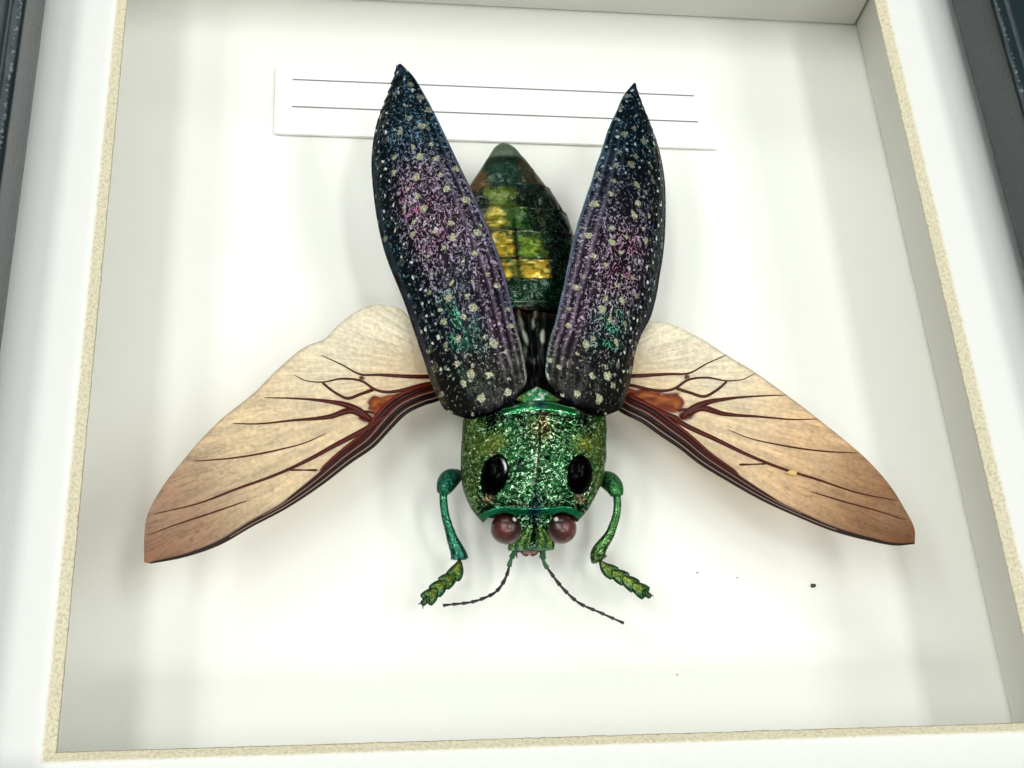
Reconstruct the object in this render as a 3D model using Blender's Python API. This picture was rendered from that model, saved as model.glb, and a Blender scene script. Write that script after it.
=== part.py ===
"""Jewel beetle in flight pose, fixed in a framed shadow box.

The case lies on its back: +Z points from the back panel to the glass, +X to
the beetle's right-hand picture side and +Y from its head to its tail. The
origin is under the middle of the case, on the plane of its rear rims. All
sizes below are millimetres; MM turns them into Blender's metres.
"""

import bpy
import bmesh
import numpy as np

MM = 0.001
GAP = 0.3  # left between pieces that touch

# --- case ------------------------------------------------------------------
WINDOW_W = 82.5  # mat window at its lower edge
WINDOW_H = 86.4
MAT_THICKNESS = 0.92
MAT_MARGIN = 6.23  # mat seen between the bevel and the frame's lip
SIGHT_X = WINDOW_W / 2 + MAT_THICKNESS + MAT_MARGIN  # lip edge from the middle
SIGHT_Y = WINDOW_H / 2 + MAT_THICKNESS + MAT_MARGIN
FACE_WIDTH = 16.6  # frame face, lip edge to outside
LIP_OVERHANG = 4.0  # rabbet behind the lip
LIP_BOTTOM = 25.08
FRAME_DEPTH = 32.0
EDGE_CHAMFER = 0.6
MITRE_GAP = 0.15  # on each rail's end

BACK_PANEL_Z = (3.0, 5.5)
BACKING_Z = (5.8, 7.0)
SPACER_Z = (7.3, 21.06)
MAT_BOTTOM = 21.36
GLASS_Z = (22.58, 24.78)
SPACER_SETBACK = 4.95  # spacer face behind the window's edge
LABEL_X = (-26.5, 25.0)
LABEL_Y = (27.6, 37.0)
LABEL_THICKNESS = 0.3
TAB_SIZE = (5.0, 9.0, 0.4)
TAB_SPREAD = 30.0

# --- beetle ----------------------------------------------------------------
BODY_X = -0.8  # the body's middle line
PAD_CENTRE = (-0.8, -4.0)
PAD_RADII = (2.2, 4.0)
PAD_PROFILE = ((1.0, 0.0), (1.0, 0.4), (0.85, 0.7))  # share of the radii, height

# Stations run along Y, head end first. Each row: y, middle x, half width,
# height of the side edge, of the back and of the belly.
HEAD_STATIONS = (
    (-24.30, -1.45, 1.30, 11.2, 11.9, 10.5),
    (-23.90, -1.40, 1.80, 11.6, 12.9, 10.2),
    (-23.20, -1.35, 2.40, 12.6, 14.6, 10.2),
    (-22.50, -1.30, 3.00, 13.2, 15.5, 10.4),
    (-21.70, -1.25, 3.30, 13.4, 15.9, 10.6),
)
EYE_OFFSET = (2.5, -22.6, 13.3)  # from the head's middle line
EYE_RADIUS = 1.35
EYE_BULGE = 1.25
EYE_LOOK = (1.0, 0.0, 0.25)  # way the eye bulges: outwards, to the tail, up

PRONOTUM_STATIONS = (
    (-21.20, -1.35, 4.50, 14.0, 16.2, 10.4),
    (-20.30, -1.25, 5.45, 14.1, 16.9, 9.8),
    (-19.30, -1.15, 6.00, 14.2, 17.5, 9.3),
    (-18.00, -1.00, 6.55, 14.3, 18.1, 9.0),
    (-16.50, -0.85, 6.90, 14.4, 18.5, 8.8),
    (-14.00, -0.60, 7.02, 14.5, 18.6, 8.7),
    (-12.40, -0.45, 7.00, 14.6, 18.4, 8.8),
    (-11.80, -0.40, 6.90, 14.7, 18.1, 9.0),
    (-11.50, -0.35, 6.60, 14.8, 17.6, 9.5),
)
FALSE_EYE_OFFSET = (4.05, -17.9, 16.6)
FALSE_EYE_RADII = (1.35, 2.0)
FALSE_EYE_BULGE = 0.65
FALSE_EYE_LOOK = (0.5, 0.0, 0.85)

THORAX_STATIONS = (
    (-11.05, -0.70, 4.60, 12.8, 16.4, 9.2),
    (-9.50, -0.75, 5.80, 12.8, 17.1, 8.6),
    (-6.00, -0.80, 6.15, 12.8, 16.9, 8.4),
    (-2.50, -0.80, 6.00, 12.8, 16.4, 8.4),
    (0.20, -0.80, 5.50, 12.8, 16.0, 8.7),
)
SCUTELLUM = (-0.6, -10.0)
SCUTELLUM_RADIUS = 0.9
SCUTELLUM_HEIGHT = 0.8

ABDOMEN_STATIONS = (
    (0.50, -0.60, 5.40, 13.0, 15.9, 9.0),
    (2.00, -0.70, 5.90, 13.0, 16.1, 8.8),
    (6.00, -0.90, 6.45, 13.0, 16.2, 8.8),
    (10.00, -0.90, 6.50, 13.1, 16.1, 9.1),
    (13.20, -1.00, 5.95, 13.1, 15.8, 9.6),
    (17.00, -1.20, 4.30, 13.1, 15.2, 10.4),
    (19.50, -1.25, 2.80, 13.1, 14.7, 11.1),
    (21.30, -1.30, 1.75, 13.1, 14.3, 11.7),
    (22.50, -1.35, 0.95, 13.1, 13.8, 12.3),
    (23.00, -1.40, 0.30, 13.1, 13.4, 12.8),
)
SEGMENT_EDGES = (2.3, 6.2, 9.8, 12.9, 16.4)  # rear edges of the back plates
SEGMENT_STEP = 0.22
STEP_RISE = 2.0  # height over the side edge at which a step is whole
STEP_FADE = 4.0  # length of the tail over which the steps die out

# Wing cases: each is a domed shell over a tilted plane. Along runs from the
# base to the tip; the rows give how far along, and how far the outer edge,
# the inner edge and the crown of the dome stand off the line between them.
ELYTRA_X = -0.33
ELYTRON_BASE = (4.4, -10.4)
ELYTRON_TIP = (12.8, 28.3)
ELYTRON_PLANE = (21.2, -0.458, 0.124)  # height, slope outwards, slope to tail
ELYTRON_OUTLINE = (
    (0.00, 2.95, -3.60, 0.9),
    (0.06, 4.00, -3.75, 1.4),
    (0.18, 4.85, -3.55, 1.8),
    (0.33, 5.40, -3.38, 2.0),
    (0.50, 6.05, -2.95, 2.1),
    (0.65, 5.70, -2.20, 2.0),
    (0.78, 4.75, -1.58, 1.6),
    (0.88, 3.10, -1.10, 1.1),
    (0.95, 1.35, -0.62, 0.6),
    (1.00, 0.22, -0.22, 0.2),
)
ELYTRON_THICKNESS = 0.5
SHOULDER_REACH = 0.75  # how far the base bows towards the pronotum
SHOULDER_ROUND = 0.7  # lower is squarer
SHOULDER_FADE = 8  # power with which the bow dies out towards the tip
DOME_POWER = 2.4

# Hind wings: the front edge and the trailing edge in steps from root to tip,
# as distance from the wings' middle line and Y, on a rising plane.
WINGS_X = -0.825
WING_PLANE = (11.24, 0.268, 0.14)
WING_FRONT_EDGE = (
    (6.8, -5.2), (11.3, -9.7), (15.8, -14.5), (20.5, -18.8),
    (25.6, -22.1), (30.8, -24.7), (34.3, -25.5), (35.6, -24.8),
)
WING_REAR_EDGE = (
    (6.8, -3.6), (11.4, -0.4), (16.9, -0.8), (22.3, -4.6),
    (27.0, -9.0), (31.2, -13.65), (34.4, -18.8), (35.65, -24.2),
)
WING_SPREAD = 0.06  # the left wing is opened this much wider at its root, the right less
WING_MEMBRANE = 0.3
WING_RIB_ROOT = 1.0  # thickness of the front edge at the root and at the tip
WING_RIB_TIP = 0.5
WING_RIB_WIDTH = 0.09  # of the chord
WING_CHORD_STEPS = (0.0, 0.04, 0.1, 0.2, 0.4, 0.7, 1.0)  # front edge to trailing edge

# Limbs: points of each limb's middle line, base first.
FRONT_LEG_LEFT = (
    (-7.6, -15.2, 10.8), (-8.95, -16.9, 12.6), (-9.45, -18.3, 13.3), (-9.35, -20.2, 12.9),
    (-8.7, -22.3, 12.0), (-7.95, -24.4, 10.9), (-8.25, -25.3, 10.9), (-9.9, -26.9, 11.2),
    (-11.7, -28.7, 11.4),
)
FRONT_LEG_RIGHT = (
    (6.0, -15.7, 10.8), (6.95, -16.9, 12.6), (7.3, -18.1, 13.3), (7.4, -19.8, 12.9),
    (6.75, -21.9, 12.0), (5.55, -24.1, 10.9), (5.95, -24.9, 10.9), (7.8, -26.4, 11.2),
    (10.2, -28.3, 11.4),
)
MIDDLE_LEG = (  # from the body's middle line outwards
    (3.8, -6.6, 8.25), (6.4, -6.0, 9.1), (8.5, -5.0, 9.9), (7.6, -2.8, 9.3),
    (7.4, -0.8, 8.6), (8.0, 0.6, 8.2), (9.4, 2.4, 8.1),
)
HIND_LEG = (
    (3.8, -0.6, 8.2), (6.4, 1.2, 8.9), (8.6, 6.0, 9.4), (7.8, 8.2, 9.0),
    (7.3, 10.4, 8.5), (7.3, 11.8, 8.2), (7.6, 13.8, 8.1),
)
ANTENNA_LEFT = (
    (-3.1, -24.5, 11.2), (-3.5, -25.8, 11.0), (-4.6, -27.4, 11.0), (-6.2, -28.2, 11.1),
    (-9.7, -28.8, 11.4),
)
ANTENNA_RIGHT = (
    (0.1, -24.6, 11.2), (0.8, -25.7, 11.0), (1.9, -27.3, 11.0), (3.2, -28.6, 11.0),
    (5.1, -29.6, 11.1), (7.3, -30.8, 11.4),
)
ANTENNA_SEGMENTS = 11
ANTENNA_RADIUS = 0.3
ANTENNA_SECTIONS = (0.0, 0.8)  # shares of a segment
ANTENNA_NECK = 0.62  # radius at a segment's start, against its end
ANTENNA_TAPER = 0.25  # lost from base to tip

LIMB_FLATNESS = 0.85  # height of a leg's section against its width
LINE_STEP = 0.01  # share of a limb over which its direction is taken

# Half widths of a front leg at shares of its length: thigh, knee, shin, ankle.
FRONT_LEG_WIDTHS = (
    (0.00, 0.65), (0.10, 0.85), (0.19, 0.85), (0.235, 0.45),
    (0.40, 0.42), (0.52, 0.64), (0.60, 0.75), (0.64, 0.30), (0.66, 0.34), (1.00, 0.32),
)
REAR_LEG_WIDTHS = (
    (0.00, 0.50), (0.14, 0.62), (0.34, 0.55), (0.40, 0.40),
    (0.55, 0.40), (0.68, 0.50), (0.72, 0.28), (0.74, 0.32), (1.00, 0.26),
)
FRONT_TARSUS_START = 0.66
REAR_TARSUS_START = 0.74
TARSUS_SEGMENTS = 5
LOBE_SECTIONS = (0.0, 0.55, 0.97)  # shares of a foot segment
FRONT_LOBE = 0.55  # how much a foot segment widens
REAR_LOBE = 0.4


def make_material(name, hex_colour, roughness, metallic=0.0, transmission=0.0):
    """One Principled material from an sRGB hex colour."""
    channels = [int(hex_colour[i:i + 2], 16) / 255 for i in (0, 2, 4)]
    linear = [c / 12.92 if c <= 0.04045 else ((c + 0.055) / 1.055) ** 2.4 for c in channels]
    material = bpy.data.materials.new(name)
    material.use_nodes = True
    shader = material.node_tree.nodes["Principled BSDF"]
    shader.inputs["Base Color"].default_value = (*linear, 1.0)
    shader.inputs["Roughness"].default_value = roughness
    shader.inputs["Metallic"].default_value = metallic
    shader.inputs["Transmission Weight"].default_value = transmission
    material.diffuse_color = (*linear, 1.0)
    return material


def add_solid(name, points, faces, material, smooth_angle=None):
    """Make one closed solid from points in millimetres and its faces."""
    bm = bmesh.new()
    corners = [bm.verts.new(np.asarray(p, float) * MM) for p in points]
    for face in faces:
        bm.faces.new([corners[i] for i in face])
    bmesh.ops.recalc_face_normals(bm, faces=bm.faces)
    mesh = bpy.data.meshes.new(name)
    bm.to_mesh(mesh)
    bm.free()
    mesh.materials.append(material)
    if smooth_angle is not None:
        mesh.shade_smooth()
        mesh.set_sharp_from_angle(angle=np.radians(smooth_angle))
    solid = bpy.data.objects.new(name, mesh)
    bpy.context.scene.collection.objects.link(solid)
    return solid


def add_loft(name, rings, material, smooth_angle=40):
    """Skin a row of equal closed rings and close both ends with a face."""
    count, sides = rings.shape[:2]
    faces = [tuple(reversed(range(sides))), tuple(range((count - 1) * sides, count * sides))]
    for r in range(count - 1):
        for s in range(sides):
            t = (s + 1) % sides
            faces.append((r * sides + s, r * sides + t, (r + 1) * sides + t, (r + 1) * sides + s))
    return add_solid(name, rings.reshape(-1, 3), faces, material, smooth_angle)


def add_shell(name, upper, lower, material, smooth_angle=50):
    """Close two matching grids of points into one thin solid."""
    rows, columns = upper.shape[:2]
    offset = rows * columns
    faces = []
    for r in range(rows - 1):
        for c in range(columns - 1):
            quad = (r * columns + c, r * columns + c + 1, (r + 1) * columns + c + 1, (r + 1) * columns + c)
            faces.append(quad)
            faces.append(tuple(offset + i for i in reversed(quad)))
    rim = list(range(columns))
    rim += [r * columns + columns - 1 for r in range(1, rows)]
    rim += [(rows - 1) * columns + c for c in range(columns - 2, -1, -1)]
    rim += [r * columns for r in range(rows - 2, 0, -1)]
    for i, j in zip(rim, rim[1:] + rim[:1]):
        faces.append((j, i, offset + i, offset + j))
    points = np.concatenate([upper.reshape(-1, 3), lower.reshape(-1, 3)])
    return add_solid(name, points, faces, material, smooth_angle)


def add_box(name, low, high, material):
    """A plain block between two corners."""
    x, y, z = zip(low, high)
    ring = [(x[0], y[0]), (x[1], y[0]), (x[1], y[1]), (x[0], y[1])]
    rings = np.array([[(px, py, pz) for px, py in ring] for pz in z])
    return add_loft(name, rings, material, smooth_angle=None)


def hermite(stations, values, at):
    """Smooth curve through values at rising stations, as a cubic with averaged slopes."""
    stations = np.asarray(stations, float)
    values = np.asarray(values, float)
    at = np.clip(np.asarray(at, float), stations[0], stations[-1])
    slopes = np.gradient(values, stations, axis=0)
    i = np.clip(np.searchsorted(stations, at) - 1, 0, len(stations) - 2)
    step = stations[i + 1] - stations[i]
    u = (at - stations[i]) / step
    if values.ndim > 1:
        u, step = u[:, None], step[:, None]
    start = (1 + 2 * u) * (1 - u) ** 2 * values[i] + u * (1 - u) ** 2 * step * slopes[i]
    end = u ** 2 * (3 - 2 * u) * values[i + 1] + u ** 2 * (u - 1) * step * slopes[i + 1]
    return start + end


def body_rings(stations, count, sides, power=2.2):
    """Rounded cross-sections along the body: each a superellipse about its side edge."""
    table = np.array(stations)
    y = np.linspace(table[0, 0], table[-1, 0], count)
    middle, half, side, back, belly = hermite(table[:, 0], table[:, 1:], y).T
    turn = np.linspace(0, 2 * np.pi, sides, endpoint=False)
    across = np.sign(np.cos(turn)) * np.abs(np.cos(turn)) ** (2 / power)
    upward = np.sign(np.sin(turn)) * np.abs(np.sin(turn)) ** (2 / power)
    x = middle[:, None] + half[:, None] * across
    rise = np.where(upward > 0, (back - side)[:, None], (side - belly)[:, None])
    z = side[:, None] + rise * upward
    return np.stack([x, np.broadcast_to(y[:, None], x.shape), z], axis=2)


def push(rings, centre, radii, height, direction):
    """Raise a smooth bump on a skin: a bell curve about a centre, along one direction."""
    reach = (((rings - np.asarray(centre)) / np.asarray(radii)) ** 2).sum(axis=2)
    return rings + height * np.exp(-reach)[..., None] * np.asarray(direction, float)


# --- case pieces -----------------------------------------------------------
def build_frame(material):
    """Four mitred rails with one section: outer side, chamfered face, lip and rabbet."""
    section = (  # outwards from the lip's edge, height
        (0.0, LIP_BOTTOM), (0.0, FRAME_DEPTH - EDGE_CHAMFER), (EDGE_CHAMFER, FRAME_DEPTH),
        (FACE_WIDTH - EDGE_CHAMFER, FRAME_DEPTH), (FACE_WIDTH, FRAME_DEPTH - EDGE_CHAMFER),
        (FACE_WIDTH, 0.0), (LIP_OVERHANG, 0.0), (LIP_OVERHANG, LIP_BOTTOM),
    )
    for name, along_x, sign in (
        ("frame_rail_left", False, -1), ("frame_rail_right", False, 1),
        ("frame_rail_bottom", True, -1), ("frame_rail_top", True, 1),
    ):
        rings = []
        for end in (-1, 1):
            ring = []
            for out, z in section:
                if along_x:
                    ring.append((end * (SIGHT_X + out - MITRE_GAP), sign * (SIGHT_Y + out), z))
                else:
                    ring.append((sign * (SIGHT_X + out), end * (SIGHT_Y + out - MITRE_GAP), z))
            rings.append(ring)
        add_loft(name, np.array(rings), material, smooth_angle=None)


def build_mat(material):
    """The mat: a plate with a window cut at 45 degrees."""
    half_x = SIGHT_X + LIP_OVERHANG - GAP
    half_y = SIGHT_Y + LIP_OVERHANG - GAP
    top = MAT_BOTTOM + MAT_THICKNESS
    corners = ((-1, -1), (1, -1), (1, 1), (-1, 1))
    loops = (
        (half_x, half_y, MAT_BOTTOM), (half_x, half_y, top),
        (WINDOW_W / 2 + MAT_THICKNESS, WINDOW_H / 2 + MAT_THICKNESS, top),
        (WINDOW_W / 2, WINDOW_H / 2, MAT_BOTTOM),
    )
    points = [(x * sx, y * sy, z) for x, y, z in loops for sx, sy in corners]
    faces = []
    for loop in range(4):
        for i in range(4):
            j = (i + 1) % 4
            a, b = loop * 4, (loop + 1) % 4 * 4
            faces.append((a + i, a + j, b + j, b + i))
    add_solid("mat_board", points, faces, material)


def build_stack(glass, foam, card, paper, fibreboard, steel):
    """Everything that lies in the rabbet, from the glass down to the back panel."""
    half_x = SIGHT_X + LIP_OVERHANG - GAP
    half_y = SIGHT_Y + LIP_OVERHANG - GAP
    for name, (low, high), material in (
        ("glass_pane", GLASS_Z, glass), ("backing_board", BACKING_Z, card),
        ("back_panel", BACK_PANEL_Z, fibreboard),
    ):
        add_box(name, (-half_x, -half_y, low), (half_x, half_y, high), material)

    inner_x = WINDOW_W / 2 + SPACER_SETBACK
    inner_y = WINDOW_H / 2 + SPACER_SETBACK
    low, high = SPACER_Z
    add_box("spacer_left", (-half_x, -half_y, low), (-inner_x, half_y, high), foam)
    add_box("spacer_right", (inner_x, -half_y, low), (half_x, half_y, high), foam)
    add_box("spacer_bottom", (GAP - inner_x, -half_y, low), (inner_x - GAP, -inner_y, high), foam)
    add_box("spacer_top", (GAP - inner_x, inner_y, low), (inner_x - GAP, half_y, high), foam)

    label_z = BACKING_Z[1] + GAP
    add_box("label", (LABEL_X[0], LABEL_Y[0], label_z),
            (LABEL_X[1], LABEL_Y[1], label_z + LABEL_THICKNESS), paper)

    # One tab near each end of the top and bottom rails, under the back panel.
    tab_w, tab_l, tab_t = TAB_SIZE
    tab_top = BACK_PANEL_Z[0] - GAP
    for side, sign_y in (("bottom", -1), ("top", 1)):
        for end, sign_x in (("left", -1), ("right", 1)):
            x = sign_x * TAB_SPREAD
            y = sorted((sign_y * half_y, sign_y * (half_y - tab_l)))
            add_box(f"tab_{side}_{end}", (x - tab_w / 2, y[0], tab_top - tab_t),
                    (x + tab_w / 2, y[1], tab_top), steel)


def build_pad(material):
    """A flat oval of glue under the thorax."""
    turn = np.linspace(0, 2 * np.pi, 20, endpoint=False)
    low = BACKING_Z[1] + GAP
    rings = [
        np.stack([
            PAD_CENTRE[0] + PAD_RADII[0] * scale * np.cos(turn),
            PAD_CENTRE[1] + PAD_RADII[1] * scale * np.sin(turn),
            np.full_like(turn, low + rise),
        ], axis=1)
        for scale, rise in PAD_PROFILE
    ]
    add_loft("glue_pad", np.array(rings), material)


# --- beetle pieces ---------------------------------------------------------
def build_head(material):
    """Head, with the compound eyes bulging from its sides."""
    rings = body_rings(HEAD_STATIONS, count=10, sides=24)
    middle = np.mean([row[1] for row in HEAD_STATIONS])
    out, y, z = EYE_OFFSET
    outwards, along, up = EYE_LOOK
    for side in (-1, 1):
        centre = (middle + side * out, y, z)
        rings = push(rings, centre, (EYE_RADIUS,) * 3, EYE_BULGE, (side * outwards, along, up))
    add_loft("head", rings, material)


def build_pronotum(material):
    """Shield behind the head, with one false-eye boss on each side."""
    rings = body_rings(PRONOTUM_STATIONS, count=14, sides=32, power=2.3)
    out, y, z = FALSE_EYE_OFFSET
    width, length = FALSE_EYE_RADII
    outwards, along, up = FALSE_EYE_LOOK
    middle = hermite([r[0] for r in PRONOTUM_STATIONS], [r[1] for r in PRONOTUM_STATIONS], [y])[0]
    for side in (-1, 1):
        centre = (middle + side * out, y, z)
        look = (side * outwards, along, up)
        rings = push(rings, centre, (width, length, width), FALSE_EYE_BULGE, look)
    add_loft("pronotum", rings, material)


def build_thorax(material):
    """Body between the wing bases, with the scutellum standing between the wing cases."""
    rings = body_rings(THORAX_STATIONS, count=14, sides=24)
    centre = (*SCUTELLUM, rings[..., 2].max())
    radii = (SCUTELLUM_RADIUS, SCUTELLUM_RADIUS, SCUTELLUM_RADIUS * 2)
    add_loft("thorax", push(rings, centre, radii, SCUTELLUM_HEIGHT, (0, 0, 1)), material)


def build_abdomen(material):
    """Tapering abdomen; the back plates overlap towards the tail in low steps."""
    rings = body_rings(ABDOMEN_STATIONS, count=26, sides=24, power=2.5)
    table = np.array(ABDOMEN_STATIONS)
    y = rings[..., 1]
    share = np.zeros_like(y)
    edges = (table[0, 0], *SEGMENT_EDGES, table[-1, 0])
    for start, stop in zip(edges, edges[1:]):
        inside = (y >= start) & (y < stop)
        share = np.where(inside, (y - start) / (stop - start), share)
    side = hermite(table[:, 0], table[:, 3], y[:, 0])[:, None]
    fade = np.clip((table[-1, 0] - y) / STEP_FADE, 0, 1)
    upper = np.clip((rings[..., 2] - side) / STEP_RISE, 0, 1)
    rings[..., 2] -= SEGMENT_STEP * share * upper * fade
    add_loft("abdomen", rings, material)


def elytron_surface(along, across, side):
    """Point on a wing case's dome. along: 0 base to 1 tip; across: 0 inner to 1 outer edge."""
    base, tip = np.array(ELYTRON_BASE), np.array(ELYTRON_TIP)
    length = np.linalg.norm(tip - base)
    axis = (tip - base) / length
    outward = np.array([axis[1], -axis[0]])
    table = np.array(ELYTRON_OUTLINE)
    outer, inner, crown = hermite(table[:, 0], table[:, 1:], along).T
    offset = inner[:, None] + (outer - inner)[:, None] * across
    arch = (4 * across * (1 - across)) ** SHOULDER_ROUND
    bow = SHOULDER_REACH * arch * (1 - along[:, None]) ** SHOULDER_FADE
    advance = along[:, None] * length - bow
    plan = base + advance[..., None] * axis + offset[..., None] * outward
    height, slope_out, slope_tail = ELYTRON_PLANE
    z = height + slope_out * plan[..., 0] + slope_tail * plan[..., 1]
    normal = np.array([-slope_out, -slope_tail, 1.0])
    normal /= np.linalg.norm(normal)
    dome = crown[:, None] * (1 - np.abs(2 * across - 1) ** DOME_POWER)
    points = np.stack([plan[..., 0], plan[..., 1], z], axis=2) + dome[..., None] * normal
    lower = points - ELYTRON_THICKNESS * normal
    for grid in (points, lower):
        grid[..., 0] = ELYTRA_X + side * grid[..., 0]
    return points, lower


def build_elytra(material):
    """Left and right wing case."""
    along = np.concatenate([[0.0, 0.03], np.linspace(0.08, 0.92, 14), [0.96, 1.0]])
    across = 0.5 - 0.5 * np.cos(np.linspace(0, np.pi, 10))
    for name, side in (("elytron_left", -1), ("elytron_right", 1)):
        upper, lower = elytron_surface(along, across[None, :], side)
        add_shell(name, upper, lower, material)


def build_hind_wings(material):
    """Left and right hind wing: a thin sheet, thickened to a rib along its front edge."""
    steps = np.linspace(0, 1, len(WING_FRONT_EDGE))
    along = np.linspace(0, 1, 20)
    across = np.array(WING_CHORD_STEPS)
    front = hermite(steps, WING_FRONT_EDGE, along)[:, None, :]
    rear = hermite(steps, WING_REAR_EDGE, along)[:, None, :]
    height, slope_out, slope_tail = WING_PLANE
    rib = WING_RIB_ROOT + (WING_RIB_TIP - WING_RIB_ROOT) * along[:, None]
    half = (WING_MEMBRANE + (rib - WING_MEMBRANE) * np.exp(-(across / WING_RIB_WIDTH) ** 2)) / 2
    for name, side in (("hindwing_left", -1), ("hindwing_right", 1)):
        spread = 1 - side * WING_SPREAD * (1 - along)
        plan = front + (rear - front) * across[None, :, None] * spread[:, None, None]
        z = height + slope_out * plan[..., 0] + slope_tail * plan[..., 1]
        x = WINGS_X + side * plan[..., 0]
        upper = np.stack([x, plan[..., 1], z + half], axis=2)
        lower = np.stack([x, plan[..., 1], z - half], axis=2)
        add_shell(name, upper, lower, material)


def limb_rings(points, shares, half_widths, half_heights, sides):
    """Oval sections along a smooth line; each is wide across the line and level."""
    points = np.array(points)
    steps = np.linalg.norm(np.diff(points, axis=0), axis=1)
    stations = np.concatenate([[0], np.cumsum(steps)]) / steps.sum()
    centre = hermite(stations, points, shares)
    ahead = hermite(stations, points, shares + LINE_STEP)
    ahead -= hermite(stations, points, shares - LINE_STEP)
    ahead /= np.linalg.norm(ahead, axis=1)[:, None]
    across = np.cross(ahead, (0, 0, 1))
    across /= np.linalg.norm(across, axis=1)[:, None]
    upward = np.cross(across, ahead)
    turn = np.linspace(0, 2 * np.pi, sides, endpoint=False)
    return (centre[:, None]
            + across[:, None] * (half_widths[:, None] * np.cos(turn))[..., None]
            + upward[:, None] * (half_heights[:, None] * np.sin(turn))[..., None])


def build_leg(name, points, widths, tarsus_start, lobe_width, sides, material):
    """Thigh, shin and a foot of lobed segments that widen to their ends."""
    shank = np.array([share for share, _ in widths if share < tarsus_start])
    shank = np.sort(np.concatenate([shank, (shank[1:] + shank[:-1]) / 2]))
    within = np.array(LOBE_SECTIONS)
    lobes = (np.arange(TARSUS_SEGMENTS)[:, None] + within).ravel() / TARSUS_SEGMENTS
    foot = tarsus_start + (1 - tarsus_start) * lobes
    shares = np.concatenate([shank, foot])
    half = np.interp(shares, *np.array(widths).T)
    flat = half.copy()
    swell = np.tile(within, TARSUS_SEGMENTS) * lobe_width
    half[len(shank):] += swell
    add_loft(name, limb_rings(points, shares, half, flat * LIMB_FLATNESS, sides), material)


def build_legs(material):
    """Two front legs as they reach forward, and the tucked middle and hind legs."""
    for name, points in (("leg_front_left", FRONT_LEG_LEFT), ("leg_front_right", FRONT_LEG_RIGHT)):
        build_leg(name, points, FRONT_LEG_WIDTHS, FRONT_TARSUS_START, FRONT_LOBE, 8, material)
    for kind, line in (("middle", MIDDLE_LEG), ("hind", HIND_LEG)):
        for side_name, side in (("left", -1), ("right", 1)):
            points = [(BODY_X + side * x, y, z) for x, y, z in line]
            build_leg(f"leg_{kind}_{side_name}", points, REAR_LEG_WIDTHS,
                      REAR_TARSUS_START, REAR_LOBE, 6, material)


def build_antennae(material):
    """Left and right antenna, a row of segments that widen to their ends."""
    within = np.tile(ANTENNA_SECTIONS, ANTENNA_SEGMENTS)
    segment = np.repeat(np.arange(ANTENNA_SEGMENTS), len(ANTENNA_SECTIONS))
    shares = (segment + within) / ANTENNA_SEGMENTS
    half = ANTENNA_RADIUS * (ANTENNA_NECK + (1 - ANTENNA_NECK) * within) * (1 - ANTENNA_TAPER * shares)
    for name, points in (("antenna_left", ANTENNA_LEFT), ("antenna_right", ANTENNA_RIGHT)):
        add_loft(name, limb_rings(points, shares, half, half, sides=6), material)


def main():
    for old in list(bpy.data.objects):
        bpy.data.objects.remove(old, do_unlink=True)

    build_frame(make_material("black_painted_wood", "1E2A2C", 0.4))
    build_mat(make_material("white_mat_board", "EFEDE9", 0.9))
    build_stack(
        glass=make_material("clear_glass", "FFFFFF", 0.0, transmission=1.0),
        foam=make_material("white_foam_board", "C9CDC2", 0.85),
        card=make_material("white_backing_card", "F4F3F1", 0.9),
        paper=make_material("label_paper", "FBFAF8", 0.9),
        fibreboard=make_material("brown_fibreboard", "8A6B4A", 0.8),
        steel=make_material("zinc_plated_steel", "B4B7BA", 0.35, 1.0),
    )
    build_pad(make_material("clear_glue", "E8E2D0", 0.4))

    green = make_material("emerald_cuticle", "1E8C4A", 0.3, 0.8)
    build_head(green)
    build_pronotum(green)
    build_thorax(make_material("dark_green_cuticle", "1C3A2A", 0.35, 0.6))
    build_abdomen(make_material("gold_green_cuticle", "5A6A1E", 0.3, 0.7))
    build_elytra(make_material("violet_black_cuticle", "2A1A3A", 0.35, 0.6))
    build_hind_wings(make_material("amber_wing_membrane", "B89878", 0.45))
    build_legs(make_material("teal_cuticle", "177A5A", 0.3, 0.7))
    build_antennae(make_material("brown_black_cuticle", "2A2420", 0.4))


main()
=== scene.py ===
"""Looks of a jewel beetle fixed in flight pose in a glazed shadow box.

The case lies on its back: +Z points from the back panel to the glass, +X to the
right of the picture and +Y from the beetle's head to its tail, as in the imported
model. Sizes are millimetres, and MM turns them into metres. Colours are sRGB hex
values, and linear() turns them for the shaders.
"""

import logging
from dataclasses import dataclass
from enum import Enum
from functools import partial
from itertools import product
from typing import Callable

import bpy
import numpy as np
from mathutils import Matrix


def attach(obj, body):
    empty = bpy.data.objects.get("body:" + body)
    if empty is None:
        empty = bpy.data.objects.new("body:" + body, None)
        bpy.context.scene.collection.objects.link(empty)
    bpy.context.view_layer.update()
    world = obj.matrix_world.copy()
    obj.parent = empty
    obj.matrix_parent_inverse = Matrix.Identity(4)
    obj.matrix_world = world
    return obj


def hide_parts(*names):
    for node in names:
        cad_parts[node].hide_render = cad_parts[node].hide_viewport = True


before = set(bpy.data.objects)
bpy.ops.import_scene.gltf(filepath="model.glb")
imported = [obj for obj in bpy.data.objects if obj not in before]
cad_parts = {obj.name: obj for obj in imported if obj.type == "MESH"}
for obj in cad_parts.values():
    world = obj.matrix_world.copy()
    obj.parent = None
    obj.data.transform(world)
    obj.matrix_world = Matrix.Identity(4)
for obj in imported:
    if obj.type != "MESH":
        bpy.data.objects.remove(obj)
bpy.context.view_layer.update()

MM = 0.001
Array = np.ndarray
Material = bpy.types.Material
Socket = bpy.types.NodeSocket
Adder = Callable[..., Socket]
Pair = tuple[float, float]
Triple = tuple[float, float, float]
log = logging.getLogger("beetle_case")


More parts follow.
